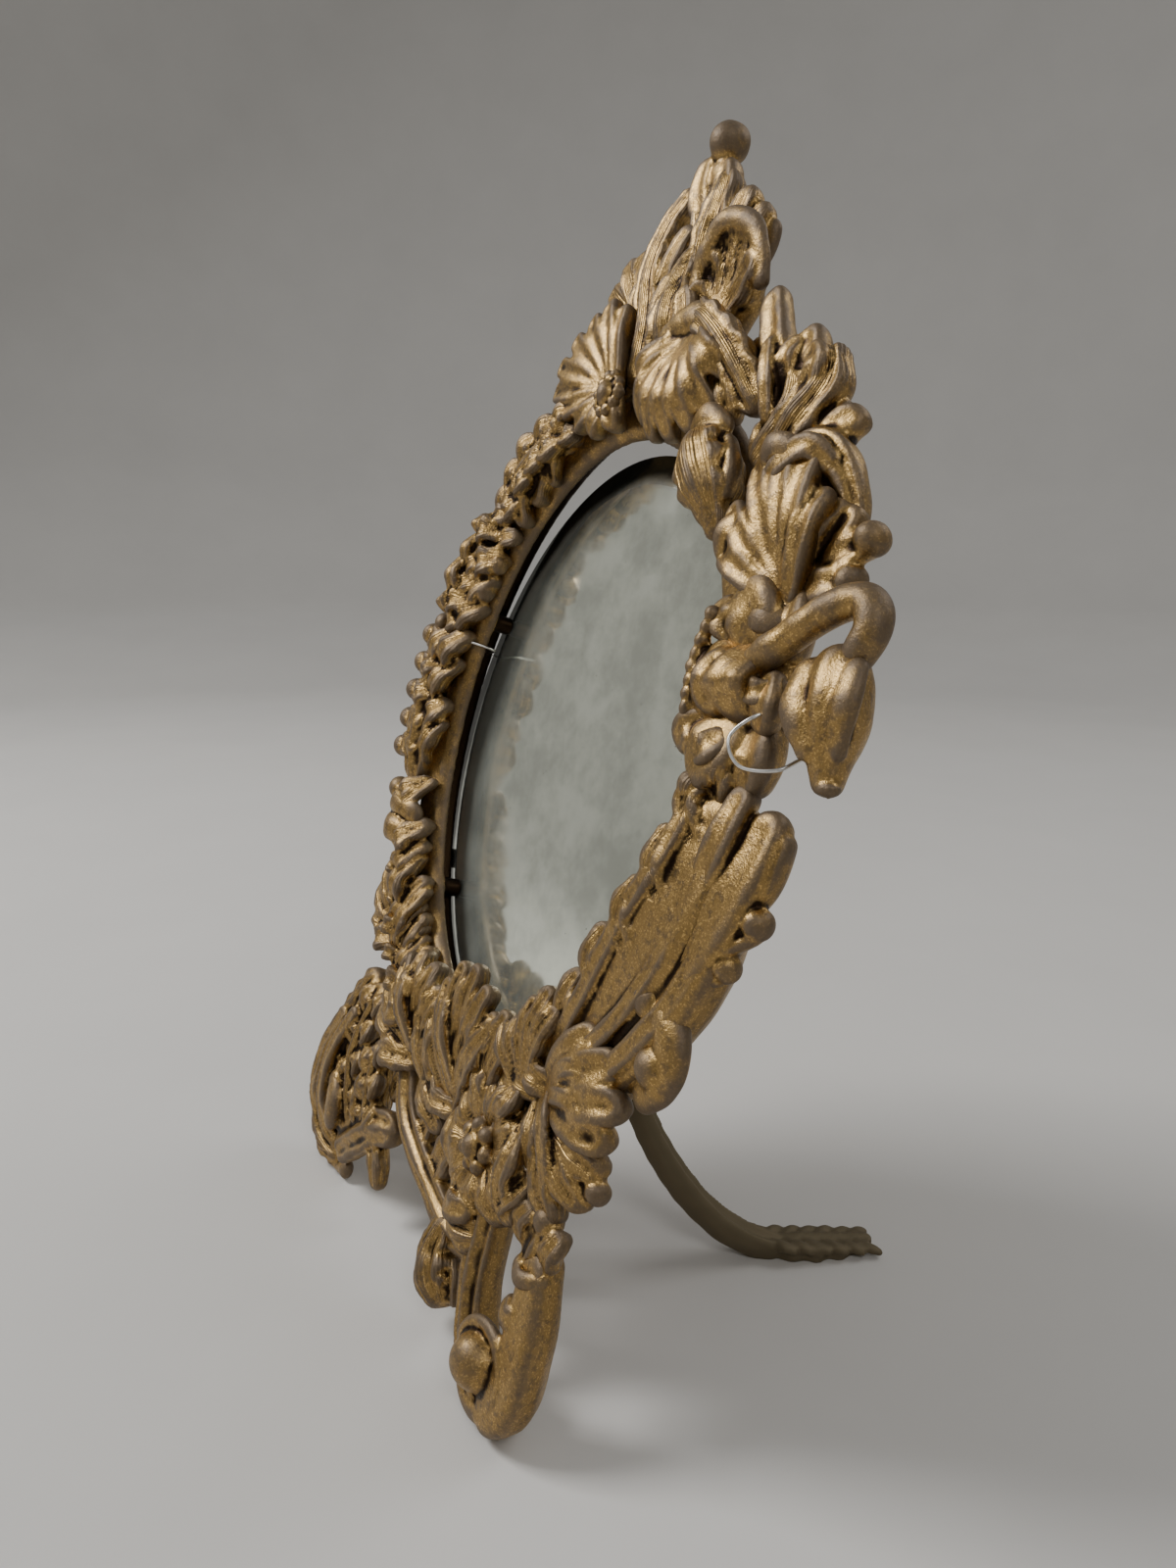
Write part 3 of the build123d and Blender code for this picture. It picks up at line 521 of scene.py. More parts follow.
def worn_metal(name, hollow, sparkle, ridge, crevice_shade, metallic, roughness):
    """A cast metal with the shared wear and painted shade in its crevices."""
    tree, shader = new_material(name)
    wear = tree.nodes.new("ShaderNodeGroup")
    wear.node_tree = bpy.data.node_groups["casting_wear_and_shade"]
    for socket, colour in (("Hollow", hollow), ("Sparkle", sparkle), ("Ridge", ridge), ("Crevice shade", crevice_shade)):
        wear.inputs[socket].default_value = rgba(colour)
    tree.links.new(wear.outputs["Color"], shader.inputs["Base Color"])
    worn = wear.outputs["Worn"]
    metal = sums(tree, "SUBTRACT", metallic, sums(tree, "MULTIPLY", worn, 0.35))
    tree.links.new(metal, shader.inputs["Metallic"])
    rough = sums(tree, "ADD", roughness, sums(tree, "MULTIPLY", worn, 0.14))
    tree.links.new(rough, shader.inputs["Roughness"])
    bump = wire_up(tree, "ShaderNodeBump", Strength=0.45, Distance=0.0003, Height=wear.outputs["Height"])
    tree.links.new(bump.outputs["Normal"], shader.inputs["Normal"])


def build_materials(settings):
    """Every finish of the mirror."""
    build_wear_and_shade_group()
    gold = Vector(settings.gold)
    worn_metal("aged_gilt", gold, gold * 2.0, settings.ridge, settings.crevice_shade, 0.95, 0.39)
    iron = Vector(settings.iron)
    # iron * 0.25 is painted shade in the strut's hollows
    worn_metal("dark_iron", iron, iron * 3.2, iron * 2.2, iron * 0.25, 0.85, 0.36)
    build_silvering(settings)
    build_bright_metal("bright_wire", (0.72, 0.71, 0.68), 0.22)
    build_bright_metal("dull_steel", (0.30, 0.29, 0.27), 0.38)
    build_board()
    build_stage_finish(settings)


def build_silvering(settings):
    """Old mirror: clear silvering with pinholes, a cloudy haze and dark patches, and painted shade in a dark band
    round its edge under the rim.
    """
    tree, shader = new_material("old_silvering")
    place = tree.nodes.new("ShaderNodeTexCoord").outputs["Object"]
    haze = noise(tree, place, scale=30.0, detail=6.0, roughness=0.66)
    pits = wire_up(tree, "ShaderNodeTexVoronoi", Vector=place, Scale=230.0).outputs["Distance"]
    patch = noise(tree, place, scale=55.0, detail=3.0, roughness=0.5)
    pinholes = ramped(tree, pits, low=0.09, high=0.04)
    specks = sums(tree, "MULTIPLY", pinholes, ramped(tree, patch, low=0.50, high=0.64))
    middle = FACE @ Vector((GLASS_U, GLASS_V, 0))
    away = wire_up(tree, "ShaderNodeVectorMath", _operation="SUBTRACT", i0=place, i1=middle).outputs[0]
    shares = []
    for direction, half in ((Vector((1, 0, 0)), GLASS_HALF_WIDTH), (UP_THE_FACE, GLASS_HALF_HEIGHT)):
        along = wire_up(
            tree, "ShaderNodeVectorMath", _operation="DOT_PRODUCT", i0=away, i1=direction / (half * MM)
        ).outputs["Value"]
        shares.append(sums(tree, "POWER", sums(tree, "ABSOLUTE", along, 0.0), 2.0))
    out_from_middle = sums(tree, "SQRT", sums(tree, "ADD", *shares), 0.0)
    ragged = sums(tree, "MULTIPLY", sums(tree, "SUBTRACT", patch, 0.5), 0.04)
    edge = sums(tree, "ADD", out_from_middle, ragged)
    # painted shade: past the bevel's start, the glass goes dark where the rim shades it
    black = ramped(tree, edge, BEVEL_EDGE + 0.01, BEVEL_EDGE + 0.05)
    bright = sums(tree, "SUBTRACT", 1.0, black)
    # painted highlight: a bright line along the start of the bevel
    glint = sums(tree, "MULTIPLY", ramped(tree, edge, BEVEL_EDGE - 0.012, BEVEL_EDGE), bright)
    dim_glass = rgba(Vector(settings.glass) * 0.72)
    tint = mixed(tree, ramped(tree, haze, low=0.38, high=0.62), dim_glass, rgba(settings.glass))
    dull_speck = (0.10, 0.10, 0.08, 1)
    bevel_light = (0.9, 0.92, 0.88, 1)
    # colour of the painted shade at the glass's edge
    edge_shade_black = (0.012, 0.012, 0.010, 1)
    colour = mixed(tree, specks, tint, dull_speck)
    colour = mixed(tree, sums(tree, "MULTIPLY", glint, 0.5), colour, bevel_light)
    colour = mixed(tree, sums(tree, "MULTIPLY", black, 0.93), colour, edge_shade_black)
    tree.links.new(colour, shader.inputs["Base Color"])
    shader.inputs["Metallic"].default_value = 0.82
    cloudy = sums(tree, "ADD", sums(tree, "MULTIPLY", ramped(tree, haze, low=0.40, high=0.70), 0.14), 0.05)
    rough = sums(tree, "ADD", cloudy, sums(tree, "MULTIPLY", specks, 0.4))
    tree.links.new(rough, shader.inputs["Roughness"])


def build_bright_metal(name, colour, roughness):
    """Drawn or turned steel, a little dulled."""
    tree, shader = new_material(name)
    place = tree.nodes.new("ShaderNodeTexCoord").outputs["Object"]
    tarnish = noise(tree, place, scale=380.0, detail=4.0, roughness=0.6)
    dark = rgba(Vector(colour) * 0.6)
    metal = mixed(tree, ramped(tree, tarnish, low=0.42, high=0.7), rgba(colour), dark)
    tree.links.new(metal, shader.inputs["Base Color"])
    shader.inputs["Metallic"].default_value = 1.0
    rough = sums(tree, "ADD", roughness, sums(tree, "MULTIPLY", tarnish, 0.2))
    tree.links.new(rough, shader.inputs["Roughness"])
    bump = wire_up(tree, "ShaderNodeBump", Strength=0.2, Distance=0.0002, Height=tarnish)
    tree.links.new(bump.outputs["Normal"], shader.inputs["Normal"])


def build_board():
    """The brown backing board: long grain and darker streaks."""
    tree, shader = new_material("backing_wood")
    place = tree.nodes.new("ShaderNodeTexCoord").outputs["Object"]
    grain_place = wire_up(tree, "ShaderNodeMapping", Vector=place, Scale=(60, 6, 6)).outputs[0]
    grain = noise(tree, grain_place, scale=9.0, detail=6.0, roughness=0.65)
    stain = noise(tree, place, scale=22.0, detail=3.0, roughness=0.5)
    dark_grain = (0.10, 0.052, 0.024, 1)
    pale_grain = (0.24, 0.14, 0.07, 1)
    stained = (0.06, 0.035, 0.02, 1)
    wood = mixed(tree, grain, dark_grain, pale_grain)
    colour = mixed(tree, ramped(tree, stain, low=0.5, high=0.75), wood, stained)
    tree.links.new(colour, shader.inputs["Base Color"])
    tree.links.new(sums(tree, "ADD", 0.55, sums(tree, "MULTIPLY", grain, 0.3)), shader.inputs["Roughness"])
    bump = wire_up(tree, "ShaderNodeBump", Strength=0.3, Distance=0.0004, Height=grain)
    tree.links.new(bump.outputs["Normal"], shader.inputs["Normal"])


def build_stage_finish(settings):
    """Pale paper for the floor and backdrop."""
    tree, shader = new_material("pale_paper")
    place = tree.nodes.new("ShaderNodeTexCoord").outputs["Object"]
    fibre = noise(tree, place, scale=6.0, detail=5.0, roughness=0.6)
    pale = Vector(settings.stage)
    tree.links.new(mixed(tree, fibre, rgba(pale * 0.93), rgba(pale * 1.04)), shader.inputs["Base Color"])
    shader.inputs["Roughness"].default_value = 0.6


# ------------------------------------------------------------------ the castings' shapes
# A stroke's points are (u, v, n, half-width) in millimetres of the FACE plane.
def crest_shapes():
    """The finial, the shells and leaves under it, the daisy and the draped blossom."""
    daisy_tips = [
        (-14, 334), (-24, 337), (-34, 333), (-43, 327), (-50, 318),
        (-49, 308), (-39, 300), (-27, 293), (-14, 289), (0, 290),
    ]
    return {
        "finial_leaf": [
            leaf((18, 334, 5, 8), (20, 348, 8, 8.5), (22, 361, 9, 6.5), (20, 371, 8, 4), flutes=2),
            leaf((27, 341, 5, 6), (34, 352, 9, 5.5), (37, 361, 9, 4.2)),
            leaf((26, 335, 5, 6), (37, 346, 8, 5.5), (44, 355, 7, 4.2)),
            leaf((30, 334, 3, 5), (42, 344, 3, 5), (44, 352, 4, 4), flutes=0),
            leaf((13, 350, 6, 5), (9, 361, 7, 4.5), (8, 370, 7, 3.4)),
        ],
        "finial_knop": [
            leaf((14, 364, 6, 4.5), (15, 371, 7, 5), (15, 376, 7, 5), flutes=0),
            bead(15, 380.5, 7, 6.4),
            leaf((10, 358, 6, 5), (7, 368, 8, 5), (8, 378, 8, 4), plain=True),
            leaf((20, 358, 6, 5), (20, 367, 8, 5), (17, 374, 8, 4), plain=True),
        ],
        "crest_cup": [
            leaf((28, 314, 5, 8), (38, 326, 6, 12), (45, 338, 7, 9), flutes=0, thick=0.5),
            *petals(
                (36, 318), [(28, 331), (33, 340), (41, 345), (49, 343), (56, 334)],
                (2.5, 5.2, 4.5), (9, 11, 15),
            ),
            leaf((26, 325, 12, 3), (30, 338, 15, 3.2), (39, 346, 17, 3.4), (50, 344, 16, 3.2),
                 (57, 335, 14, 3.2), (57, 325, 11, 3.4), flutes=0),
        ],
        "crest_fold": [
            leaf((17, 308, 8, 8), (16, 322, 12, 9.5), (14, 334, 11, 7.5), (12, 349, 8, 4.5), flutes=2),
            leaf((24, 312, 9, 5), (26, 322, 13, 5.5), (22, 332, 14, 4.5)),
            leaf((8, 316, 8, 4.5), (6, 328, 11, 5), (9, 340, 11, 4)),
        ],
        "crest_scroll": [
            leaf((-5, 306, 6, 7), (-5, 326, 8, 6.5), (-9, 345, 9, 6), (-7, 360, 8, 5), (1, 371, 7, 3.2),
                 flutes=2),
            leaf((-2, 334, 7, 5), (3, 346, 9, 5), (8, 357, 8, 3.6)),
            leaf((-10, 322, 5, 4.5), (-17, 334, 7, 4.5), (-17, 345, 7, 3.4)),
            leaf((-11, 342, 5, 4), (-15, 352, 6, 4), (-12, 361, 6, 3)),
        ],
        "crest_side_leaves": petals(
            (-12, 328), [(-24, 357), (-32, 355), (-39, 346), (-37, 335)], (3.5, 5.5, 3.6), (4, 6, 5)
        ),
        "daisy_petals": [
            leaf((-6, 304, 5, 10), (-22, 314, 6, 13), (-36, 318, 6, 9), flutes=0, thick=0.35),
            *petals((-6, 304), daisy_tips, (2.2, 4.3, 3.8), (12, 14, 12), depth=0.6, plain=True),
        ],
        "daisy_heart": [bead(-5, 302, 15, 4.4), *ring_of_beads(-5, 302, 15, 6, 2.1, 10)],
        "draped_blossom": [
            leaf((36, 314, 9, 10), (37, 303, 10, 15), (38, 295, 9, 11), flutes=0, thick=0.4),
            *petals(
                (36, 317), [(12, 300), (17, 290), (26, 284), (36, 283), (46, 285), (54, 290), (60, 300)],
                (3, 4.2, 3.6), (15, 20, 13), plain=True, depth=0.6,
            ),
            leaf((15, 305, 12, 4), (26, 316, 16, 4.6), (41, 318, 17, 4.6), (55, 309, 13, 4), flutes=0),
        ],
        "strap_leaf": [
            leaf((31, 321, 13, 4.5), (44, 317, 18, 5), (58, 306, 16, 6), (71, 290, 10, 5), flutes=2),
            leaf((62, 306, 8, 4), (70, 301, 10, 4.4), (77, 293, 8, 4)),
            leaf((52, 304, 12, 4), (58, 296, 14, 4.4), (60, 287, 11, 3.6)),
        ],
    }


def shoulder_shapes():
    """The bell bud and the leaves of the right shoulder."""
    return {
        "bell_bud": [
            leaf((50, 286, 13, 4), (56, 278, 14, 8.5), (62, 270, 14, 9), (67, 262, 13, 5.5),
                 (70, 254, 12, 2.6), flutes=2, depth=0.15, thick=0.9),
            leaf((47, 281, 12, 3), (52, 272, 15, 3.6), (60, 263, 15, 2.6), plain=True),
            leaf((62, 283, 13, 3), (69, 274, 15, 3.8), (70, 264, 14, 2.6), plain=True),
            leaf((45, 284, 12, 3.5), (54, 289, 15, 4), (64, 284, 13, 3.5), flutes=0),
        ],
        "finger_leaf": [
            leaf((70, 276, 7, 8), (82, 289, 9, 7.5), (81, 301, 9, 5), flutes=2),
            leaf((80, 288, 7, 6), (71, 304, 9, 5.5), (65, 316, 9, 5), (60, 326, 8, 4.4), plain=True),
            leaf((83, 290, 7, 5), (84, 302, 9, 5.5), (81, 312, 9, 4.8), plain=True),
            leaf((72, 290, 7, 5), (65, 303, 8, 4.5), (57, 312, 8, 3.4), plain=True),
            leaf((76, 286, 11, 2.4), (74, 298, 14, 2.6), (68, 310, 12, 2.2), plain=True),
            leaf((80, 294, 9, 3), (78, 303, 12, 3.4), (80, 310, 10, 2.8), plain=True),
        ],
        "curl_leaf": [
            leaf((80, 276, 8, 7), (88, 286, 11, 7.5), (94, 296, 10, 6.5), (89, 305, 8, 4.5), flutes=2),
            leaf((85, 288, 10, 3.4), (92, 299, 13, 4), (85, 305, 11, 3), plain=True),
            leaf((86, 278, 6, 6), (95, 284, 8, 6), (101, 291, 7, 4.4), plain=True),
        ],
        "horn_leaf": [
            leaf((80, 266, 8, 8), (92, 274, 10, 8), (103, 275, 10, 7), (111, 267, 8, 5), (115, 258, 7, 3.4),
                 flutes=2, plain=True),
            leaf((82, 262, 10, 3), (90, 272, 15, 3.4), (100, 277, 15, 3.4), (108, 272, 11, 2.8), plain=True),
            leaf((86, 260, 8, 5), (96, 266, 12, 5), (106, 262, 10, 4), plain=True),
            leaf((96, 276, 8, 5), (103, 284, 9, 5), (109, 286, 7, 3.6), plain=True),
        ],
        "fan_leaf": [
            leaf((104, 236, 8, 6), (97, 252, 9, 11), (90, 268, 9, 11), flutes=0, thick=0.4),
            *petals(
                (104, 238), [(74, 252), (73, 264), (80, 276), (90, 281), (100, 278), (108, 268)],
                (2.6, 4.4, 3.4), (11, 15, 12), plain=True,
            ),
            leaf((108, 236, 9, 3.4), (102, 234, 14, 4), (94, 236, 13, 3.6), (88, 242, 10, 3), flutes=0),
            leaf((84, 262, 12, 3), (76, 256, 15, 3.4), (76, 248, 12, 3), flutes=0),
            leaf((80, 272, 12, 3), (88, 278, 16, 3.4), (97, 276, 14, 3), flutes=0),
        ],
        "knob_spray": [
            leaf((106, 247, 7, 4.6), (112, 256, 9, 4.4), (116, 264, 8, 3.8), plain=True),
            leaf((107, 247, 7, 4.6), (116, 252, 9, 4.4), (124, 256, 8, 3.8), plain=True),
            leaf((106, 244, 8, 4.6), (114, 244, 10, 4.6), (121, 246, 8, 3.8), plain=True),
            leaf((103, 250, 9, 3.4), (108, 258, 12, 3.6), (112, 266, 9, 2.8), plain=True),
            bead(123, 256, 8, 4.4),
            bead(120, 246, 8, 4.2),
        ],
    }


def rose_shapes():
    """The open rose, its calyx, and the bent stem with the hanging tulip."""
    stamens = [bead(83 - 4 * math.sin(0.5 + 0.28 * i), 234 - 3.6 * i, 15, 2.4) for i in range(8)]
    return {
        "rose_calyx": [
            leaf((98, 232, 6, 9), (98, 217, 7, 15), (98, 202, 6, 10), flutes=0, thick=0.5),
            leaf((100, 222, 8, 7), (95, 235, 12, 9.5), (86, 243, 11, 6.5), depth=0.3, plain=True),
            leaf((98, 212, 8, 7), (93, 200, 12, 9.5), (84, 193, 11, 7), depth=0.3, plain=True),
            leaf((104, 224, 8, 5), (107, 234, 11, 6), (104, 243, 9, 4.4), depth=0.3, plain=True),
            leaf((104, 210, 8, 6), (108, 200, 11, 6.5), (104, 191, 9, 5), depth=0.3, plain=True),
            leaf((90, 206, 10, 4), (82, 204, 14, 5), (78, 197, 11, 4), plain=True),
            leaf((92, 230, 10, 4), (84, 233, 14, 4.6), (80, 240, 11, 3.6), plain=True),
            leaf((98, 204, 10, 4), (98, 194, 12, 4.6), (96, 186, 9, 3.6)),
        ],
        "rose_bloom": [
            leaf((88, 230, 10, 5), (86, 217, 13, 7), (88, 205, 10, 5), flutes=0, thick=0.7),
            *stamens,
            leaf((100, 228, 12, 5), (98, 218, 18, 6.5), (100, 208, 12, 5), plain=True, depth=0.25),
            leaf((92, 226, 14, 4), (90, 217, 19, 4.6), (92, 208, 14, 4), plain=True),
            leaf((106, 222, 12, 4), (110, 214, 15, 5), (107, 206, 11, 4), plain=True),
            leaf((98, 206, 12, 4), (94, 200, 16, 4.6), (88, 199, 13, 3.4), plain=True),
        ],
        "bud_stem": [
            leaf((98, 222, 13, 4), (108, 228, 14, 4.3), (120, 237, 13, 4.3), (129, 241, 11, 4.4),
                 (134, 235, 11, 4.4), (130, 225, 11, 4), flutes=0, thick=1.0),
            leaf((100, 218, 14, 3), (107, 216, 16, 3.6), (114, 219, 12, 2.4), plain=True),
        ],
        "tulip_bud": [
            leaf((128, 231, 11, 4), (128, 223, 11, 7.4), (130, 213, 11, 7.8), (132, 204, 11, 5),
                 (134, 196, 11, 2.8), flutes=2, thick=0.9, depth=0.1, plain=True),
            leaf((121, 227, 13, 3.4), (122, 215, 16, 4.6), (130, 203, 15, 2.8), flutes=0),
            leaf((134, 228, 13, 3.4), (136, 217, 15, 4.2), (135, 204, 13, 2.8), flutes=0),
            leaf((135, 200, 12, 3.4), (136, 196, 12, 3.6), flutes=0, thick=0.9),
        ],
    }


def flank_shapes():
    """The long acanthus, its tips, the scroll under it and the corner's leaves."""
    return {
        "acanthus_leaf": [
            leaf((50, 90, 6, 6), (66, 110, 8, 9), (81, 131, 9, 11.5), (92, 153, 10, 12.5), (98, 173, 9, 12),
                 (101, 190, 8, 9), depth=0.25, thick=0.5, plain=True),
            leaf((60, 92, 6, 6), (78, 106, 8, 8), (94, 126, 9, 9.5), (104, 146, 9, 9.5), (108, 166, 9, 8),
                 (110, 184, 8, 6), depth=0.3, thick=0.55, plain=True),
            leaf((52, 95, 9, 2.8), (62, 113, 13, 3.2), (70, 133, 14, 3.4), (78, 153, 15, 3.4),
                 (87, 171, 15, 3.4), (91, 190, 12, 3), plain=True),
            leaf((55, 92, 9, 2.6), (71, 108, 13, 3), (86, 126, 14, 3), (96, 146, 14, 3), (101, 166, 13, 2.6),
                 plain=True),
            leaf((58, 90, 8, 2.8), (76, 102, 12, 3.2), (93, 120, 13, 3.4), (105, 140, 12, 3.6),
                 (110, 160, 12, 3.4), (112, 176, 10, 3), plain=True),
            leaf((62, 110, 10, 4), (58, 121, 13, 4), (60, 131, 11, 3)),
            leaf((72, 125, 11, 4), (66, 136, 14, 4.2), (69, 147, 12, 3.2)),
            leaf((82, 141, 12, 4.4), (76, 152, 15, 4.4), (79, 163, 13, 3.4)),
            leaf((90, 157, 12, 4.4), (84, 168, 15, 4.4), (86, 179, 13, 3.4)),
            leaf((96, 174, 11, 4.6), (89, 185, 13, 4.6), (91, 196, 11, 3.8)),
            leaf((56, 100, 9, 3.6), (52, 110, 12, 3.6), (50, 119, 10, 2.8)),
            bead(88, 190, 12, 4.2),
        ],
        "acanthus_tips": [
            leaf((92, 132, 7, 6), (105, 150, 10, 7.5), (114, 170, 10, 7), (117, 190, 8, 5), depth=0.3,
                 plain=True),
            leaf((98, 160, 9, 4.6), (105, 176, 13, 5), (108, 194, 11, 4), plain=True),
            leaf((100, 150, 8, 5), (112, 156, 10, 5), (122, 163, 8, 3.8), plain=True),
            leaf((98, 142, 8, 5), (107, 146, 10, 5), (115, 150, 8, 3.8), plain=True),
            leaf((94, 135, 8, 4.6), (103, 139, 10, 4.6), (110, 141, 8, 3.4), plain=True),
            leaf((106, 158, 7, 4.6), (118, 172, 8, 4.8), (120, 186, 7, 3.6), plain=True),
            bead(121, 163, 8, 4.2),
            bead(115, 150, 8, 4),
        ],
        "c_scroll": [
            leaf((84, 124, 7, 5), (92, 131, 9, 6), (101, 131, 10, 6.5), (106, 123, 10, 6.5),
                 (102, 113, 9, 5.5), (94, 109, 8, 4.5), flutes=0),
            leaf((82, 112, 6, 5), (92, 113, 8, 5), (100, 118, 7, 5), flutes=0),
            bead(93, 134, 9, 6.4),
            bead(102, 119, 10, 6),
        ],
        "corner_leaves": [
            leaf((56, 94, 6, 7), (72, 101, 7, 9), (84, 104, 6, 7)),
            *petals(
                (56, 93), [(78, 119), (90, 115), (96, 105), (94, 94)],
                (3.4, 6.2, 4.4), (10, 14, 12), plain=True,
            ),
            leaf((60, 96, 11, 2.4), (72, 106, 16, 2.8), (84, 110, 14, 2.4), plain=True),
            leaf((60, 93, 11, 2.4), (73, 98, 16, 2.8), (86, 100, 14, 2.4), plain=True),
        ],
        "hanging_leaf": [
            *petals((60, 90), [(91, 84), (87, 72), (76, 61)], (4, 6, 4), (9, 12, 9)),
            leaf((56, 94, 9, 3), (66, 88, 15, 3.4), (72, 76, 14, 3), (70, 66, 11, 2.6), plain=True),
            leaf((54, 90, 9, 4), (60, 80, 13, 4.4), (62, 70, 11, 3.4)),
            bead(90, 79, 8, 3.8),
        ],
        "right_palmette": [
            *petals(
                (46, 88), [(57, 118), (51, 122), (44, 117), (37, 108), (30, 104)],
                (3, 4, 2.8), (11, 15, 13),
            ),
            *over_rim(-52, -66, 3, 5, inward=-14, width=4.6),
        ],
    }


def base_shapes():
    """The rosette, the shell and leaves beside it, the strand that joins the feet and its pendant."""
    rosette = [
        (45, 46), (55, 50), (62, 62), (57, 77), (45, 88),
        (30, 87), (17, 78), (13, 64), (18, 50), (30, 42),
    ]
    leaf_tips = [(-14, 98), (-24, 104), (-36, 105), (-48, 100), (-58, 90), (-60, 76), (-50, 62)]
    return {
        "rosette_petals": [
            leaf((35, 76, 5, 9), (35, 65, 6, 14), (35, 54, 5, 9), flutes=0, thick=0.4),
            *petals((35, 65), rosette, (4, 6, 4.4), (9, 13, 10)),
            leaf((22, 44, 8, 6), (34, 40, 11, 8), (46, 42, 9, 6), flutes=3, depth=0.3),
            leaf((50, 84, 9, 3.6), (56, 74, 15, 4.2), (55, 62, 15, 4.2), (60, 52, 11, 3.2)),
            leaf((44, 92, 9, 3.4), (46, 84, 15, 4), (40, 78, 14, 3)),
            leaf((28, 94, 9, 3.4), (25, 84, 14, 4), (30, 78, 14, 3)),
            leaf((22, 46, 11, 3.4), (32, 44, 16, 4.4), (42, 47, 14, 3.4), plain=True),
            leaf((14, 70, 9, 4), (18, 60, 14, 4.6), (20, 50, 11, 3.6), plain=True),
            leaf((48, 56, 10, 3.6), (58, 60, 14, 4), (64, 70, 11, 3.2)),
        ],
        "berry_cluster": [
            bead(35, 65, 15, 4.2),
            *ring_of_beads(35, 65, 14, 6.2, 2.9, 7),
            *ring_of_beads(35, 65, 12, 10.5, 2.0, 12),
        ],
        "centre_shell": [
            leaf((3, 62, 7, 8), (4, 80, 9, 14), (6, 94, 9, 12), flutes=0, thick=0.4),
            *petals(
                (6, 62), [(-14, 92), (-10, 104), (-2, 112), (8, 114), (18, 110), (27, 101)],
                (3.5, 5, 3.4), (9, 15, 14),
            ),
            *petals((24, 74), [(24, 104), (31, 107), (38, 102)], (3, 4, 2.8), (10, 14, 13)),
            leaf((10, 70, 12, 2.6), (2, 86, 18, 3), (-4, 98, 17, 2.4), plain=True),
            *over_rim(-70, -92, 4, 7, inward=-15, width=4.8),
        ],
        "base_leaves": [
            leaf((-28, 64, 6, 9), (-38, 78, 7, 14), (-42, 88, 7, 11), flutes=0, thick=0.4),
            *petals((-26, 66), leaf_tips, (4, 5.4, 3.6), (9, 15, 12)),
            leaf((-12, 62, 9, 6), (-14, 78, 14, 8), (-16, 96, 12, 5.5), depth=0.55),
            leaf((-24, 70, 13, 2.4), (-32, 84, 19, 3), (-38, 96, 17, 2.4), plain=True),
            leaf((-20, 62, 9, 4), (-8, 60, 12, 5), (4, 54, 9, 4)),
            leaf((-46, 96, 9, 4), (-38, 90, 17, 5), (-30, 92, 16, 4), plain=True),
            leaf((-54, 84, 9, 4), (-44, 78, 16, 5), (-36, 80, 14, 4), plain=True),
            leaf((-12, 68, 10, 4), (0, 64, 13, 4.6), (12, 66, 10, 3.4)),
            *over_rim(-92, -116, 5, 3, inward=-16, width=5),
        ],
        "base_strand": [
            leaf((-38, 64, 7, 7), (-23, 46, 8, 6.5), (4, 36, 8, 6), (24, 31.5, 8, 5.5), (46, 36, 7, 5),
                 flutes=2, plain=True),
            leaf((2, 38, 6, 5.5), (8, 48, 8, 6.5), (12, 58, 7, 6)),
            leaf((-14, 44, 6, 5), (-8, 54, 8, 5), (-10, 64, 7, 4)),
            leaf((-30, 58, 6, 5), (-40, 52, 7, 4.5), (-44, 44, 6, 3.2)),
        ],
        "pendant_bulb": [
            leaf((20, 34, 8, 4), (20, 24, 9, 7), (24, 15, 9, 8.5), (31, 9, 8, 4.5), flutes=2, depth=0.35,
                 thick=0.9),
            leaf((17, 27, 7, 4), (12, 18, 8, 4.5), (11, 10, 7, 3)),
            leaf((26, 23, 7, 4), (32, 17, 8, 3.6), (34, 11, 7, 2.6)),
        ],
    }


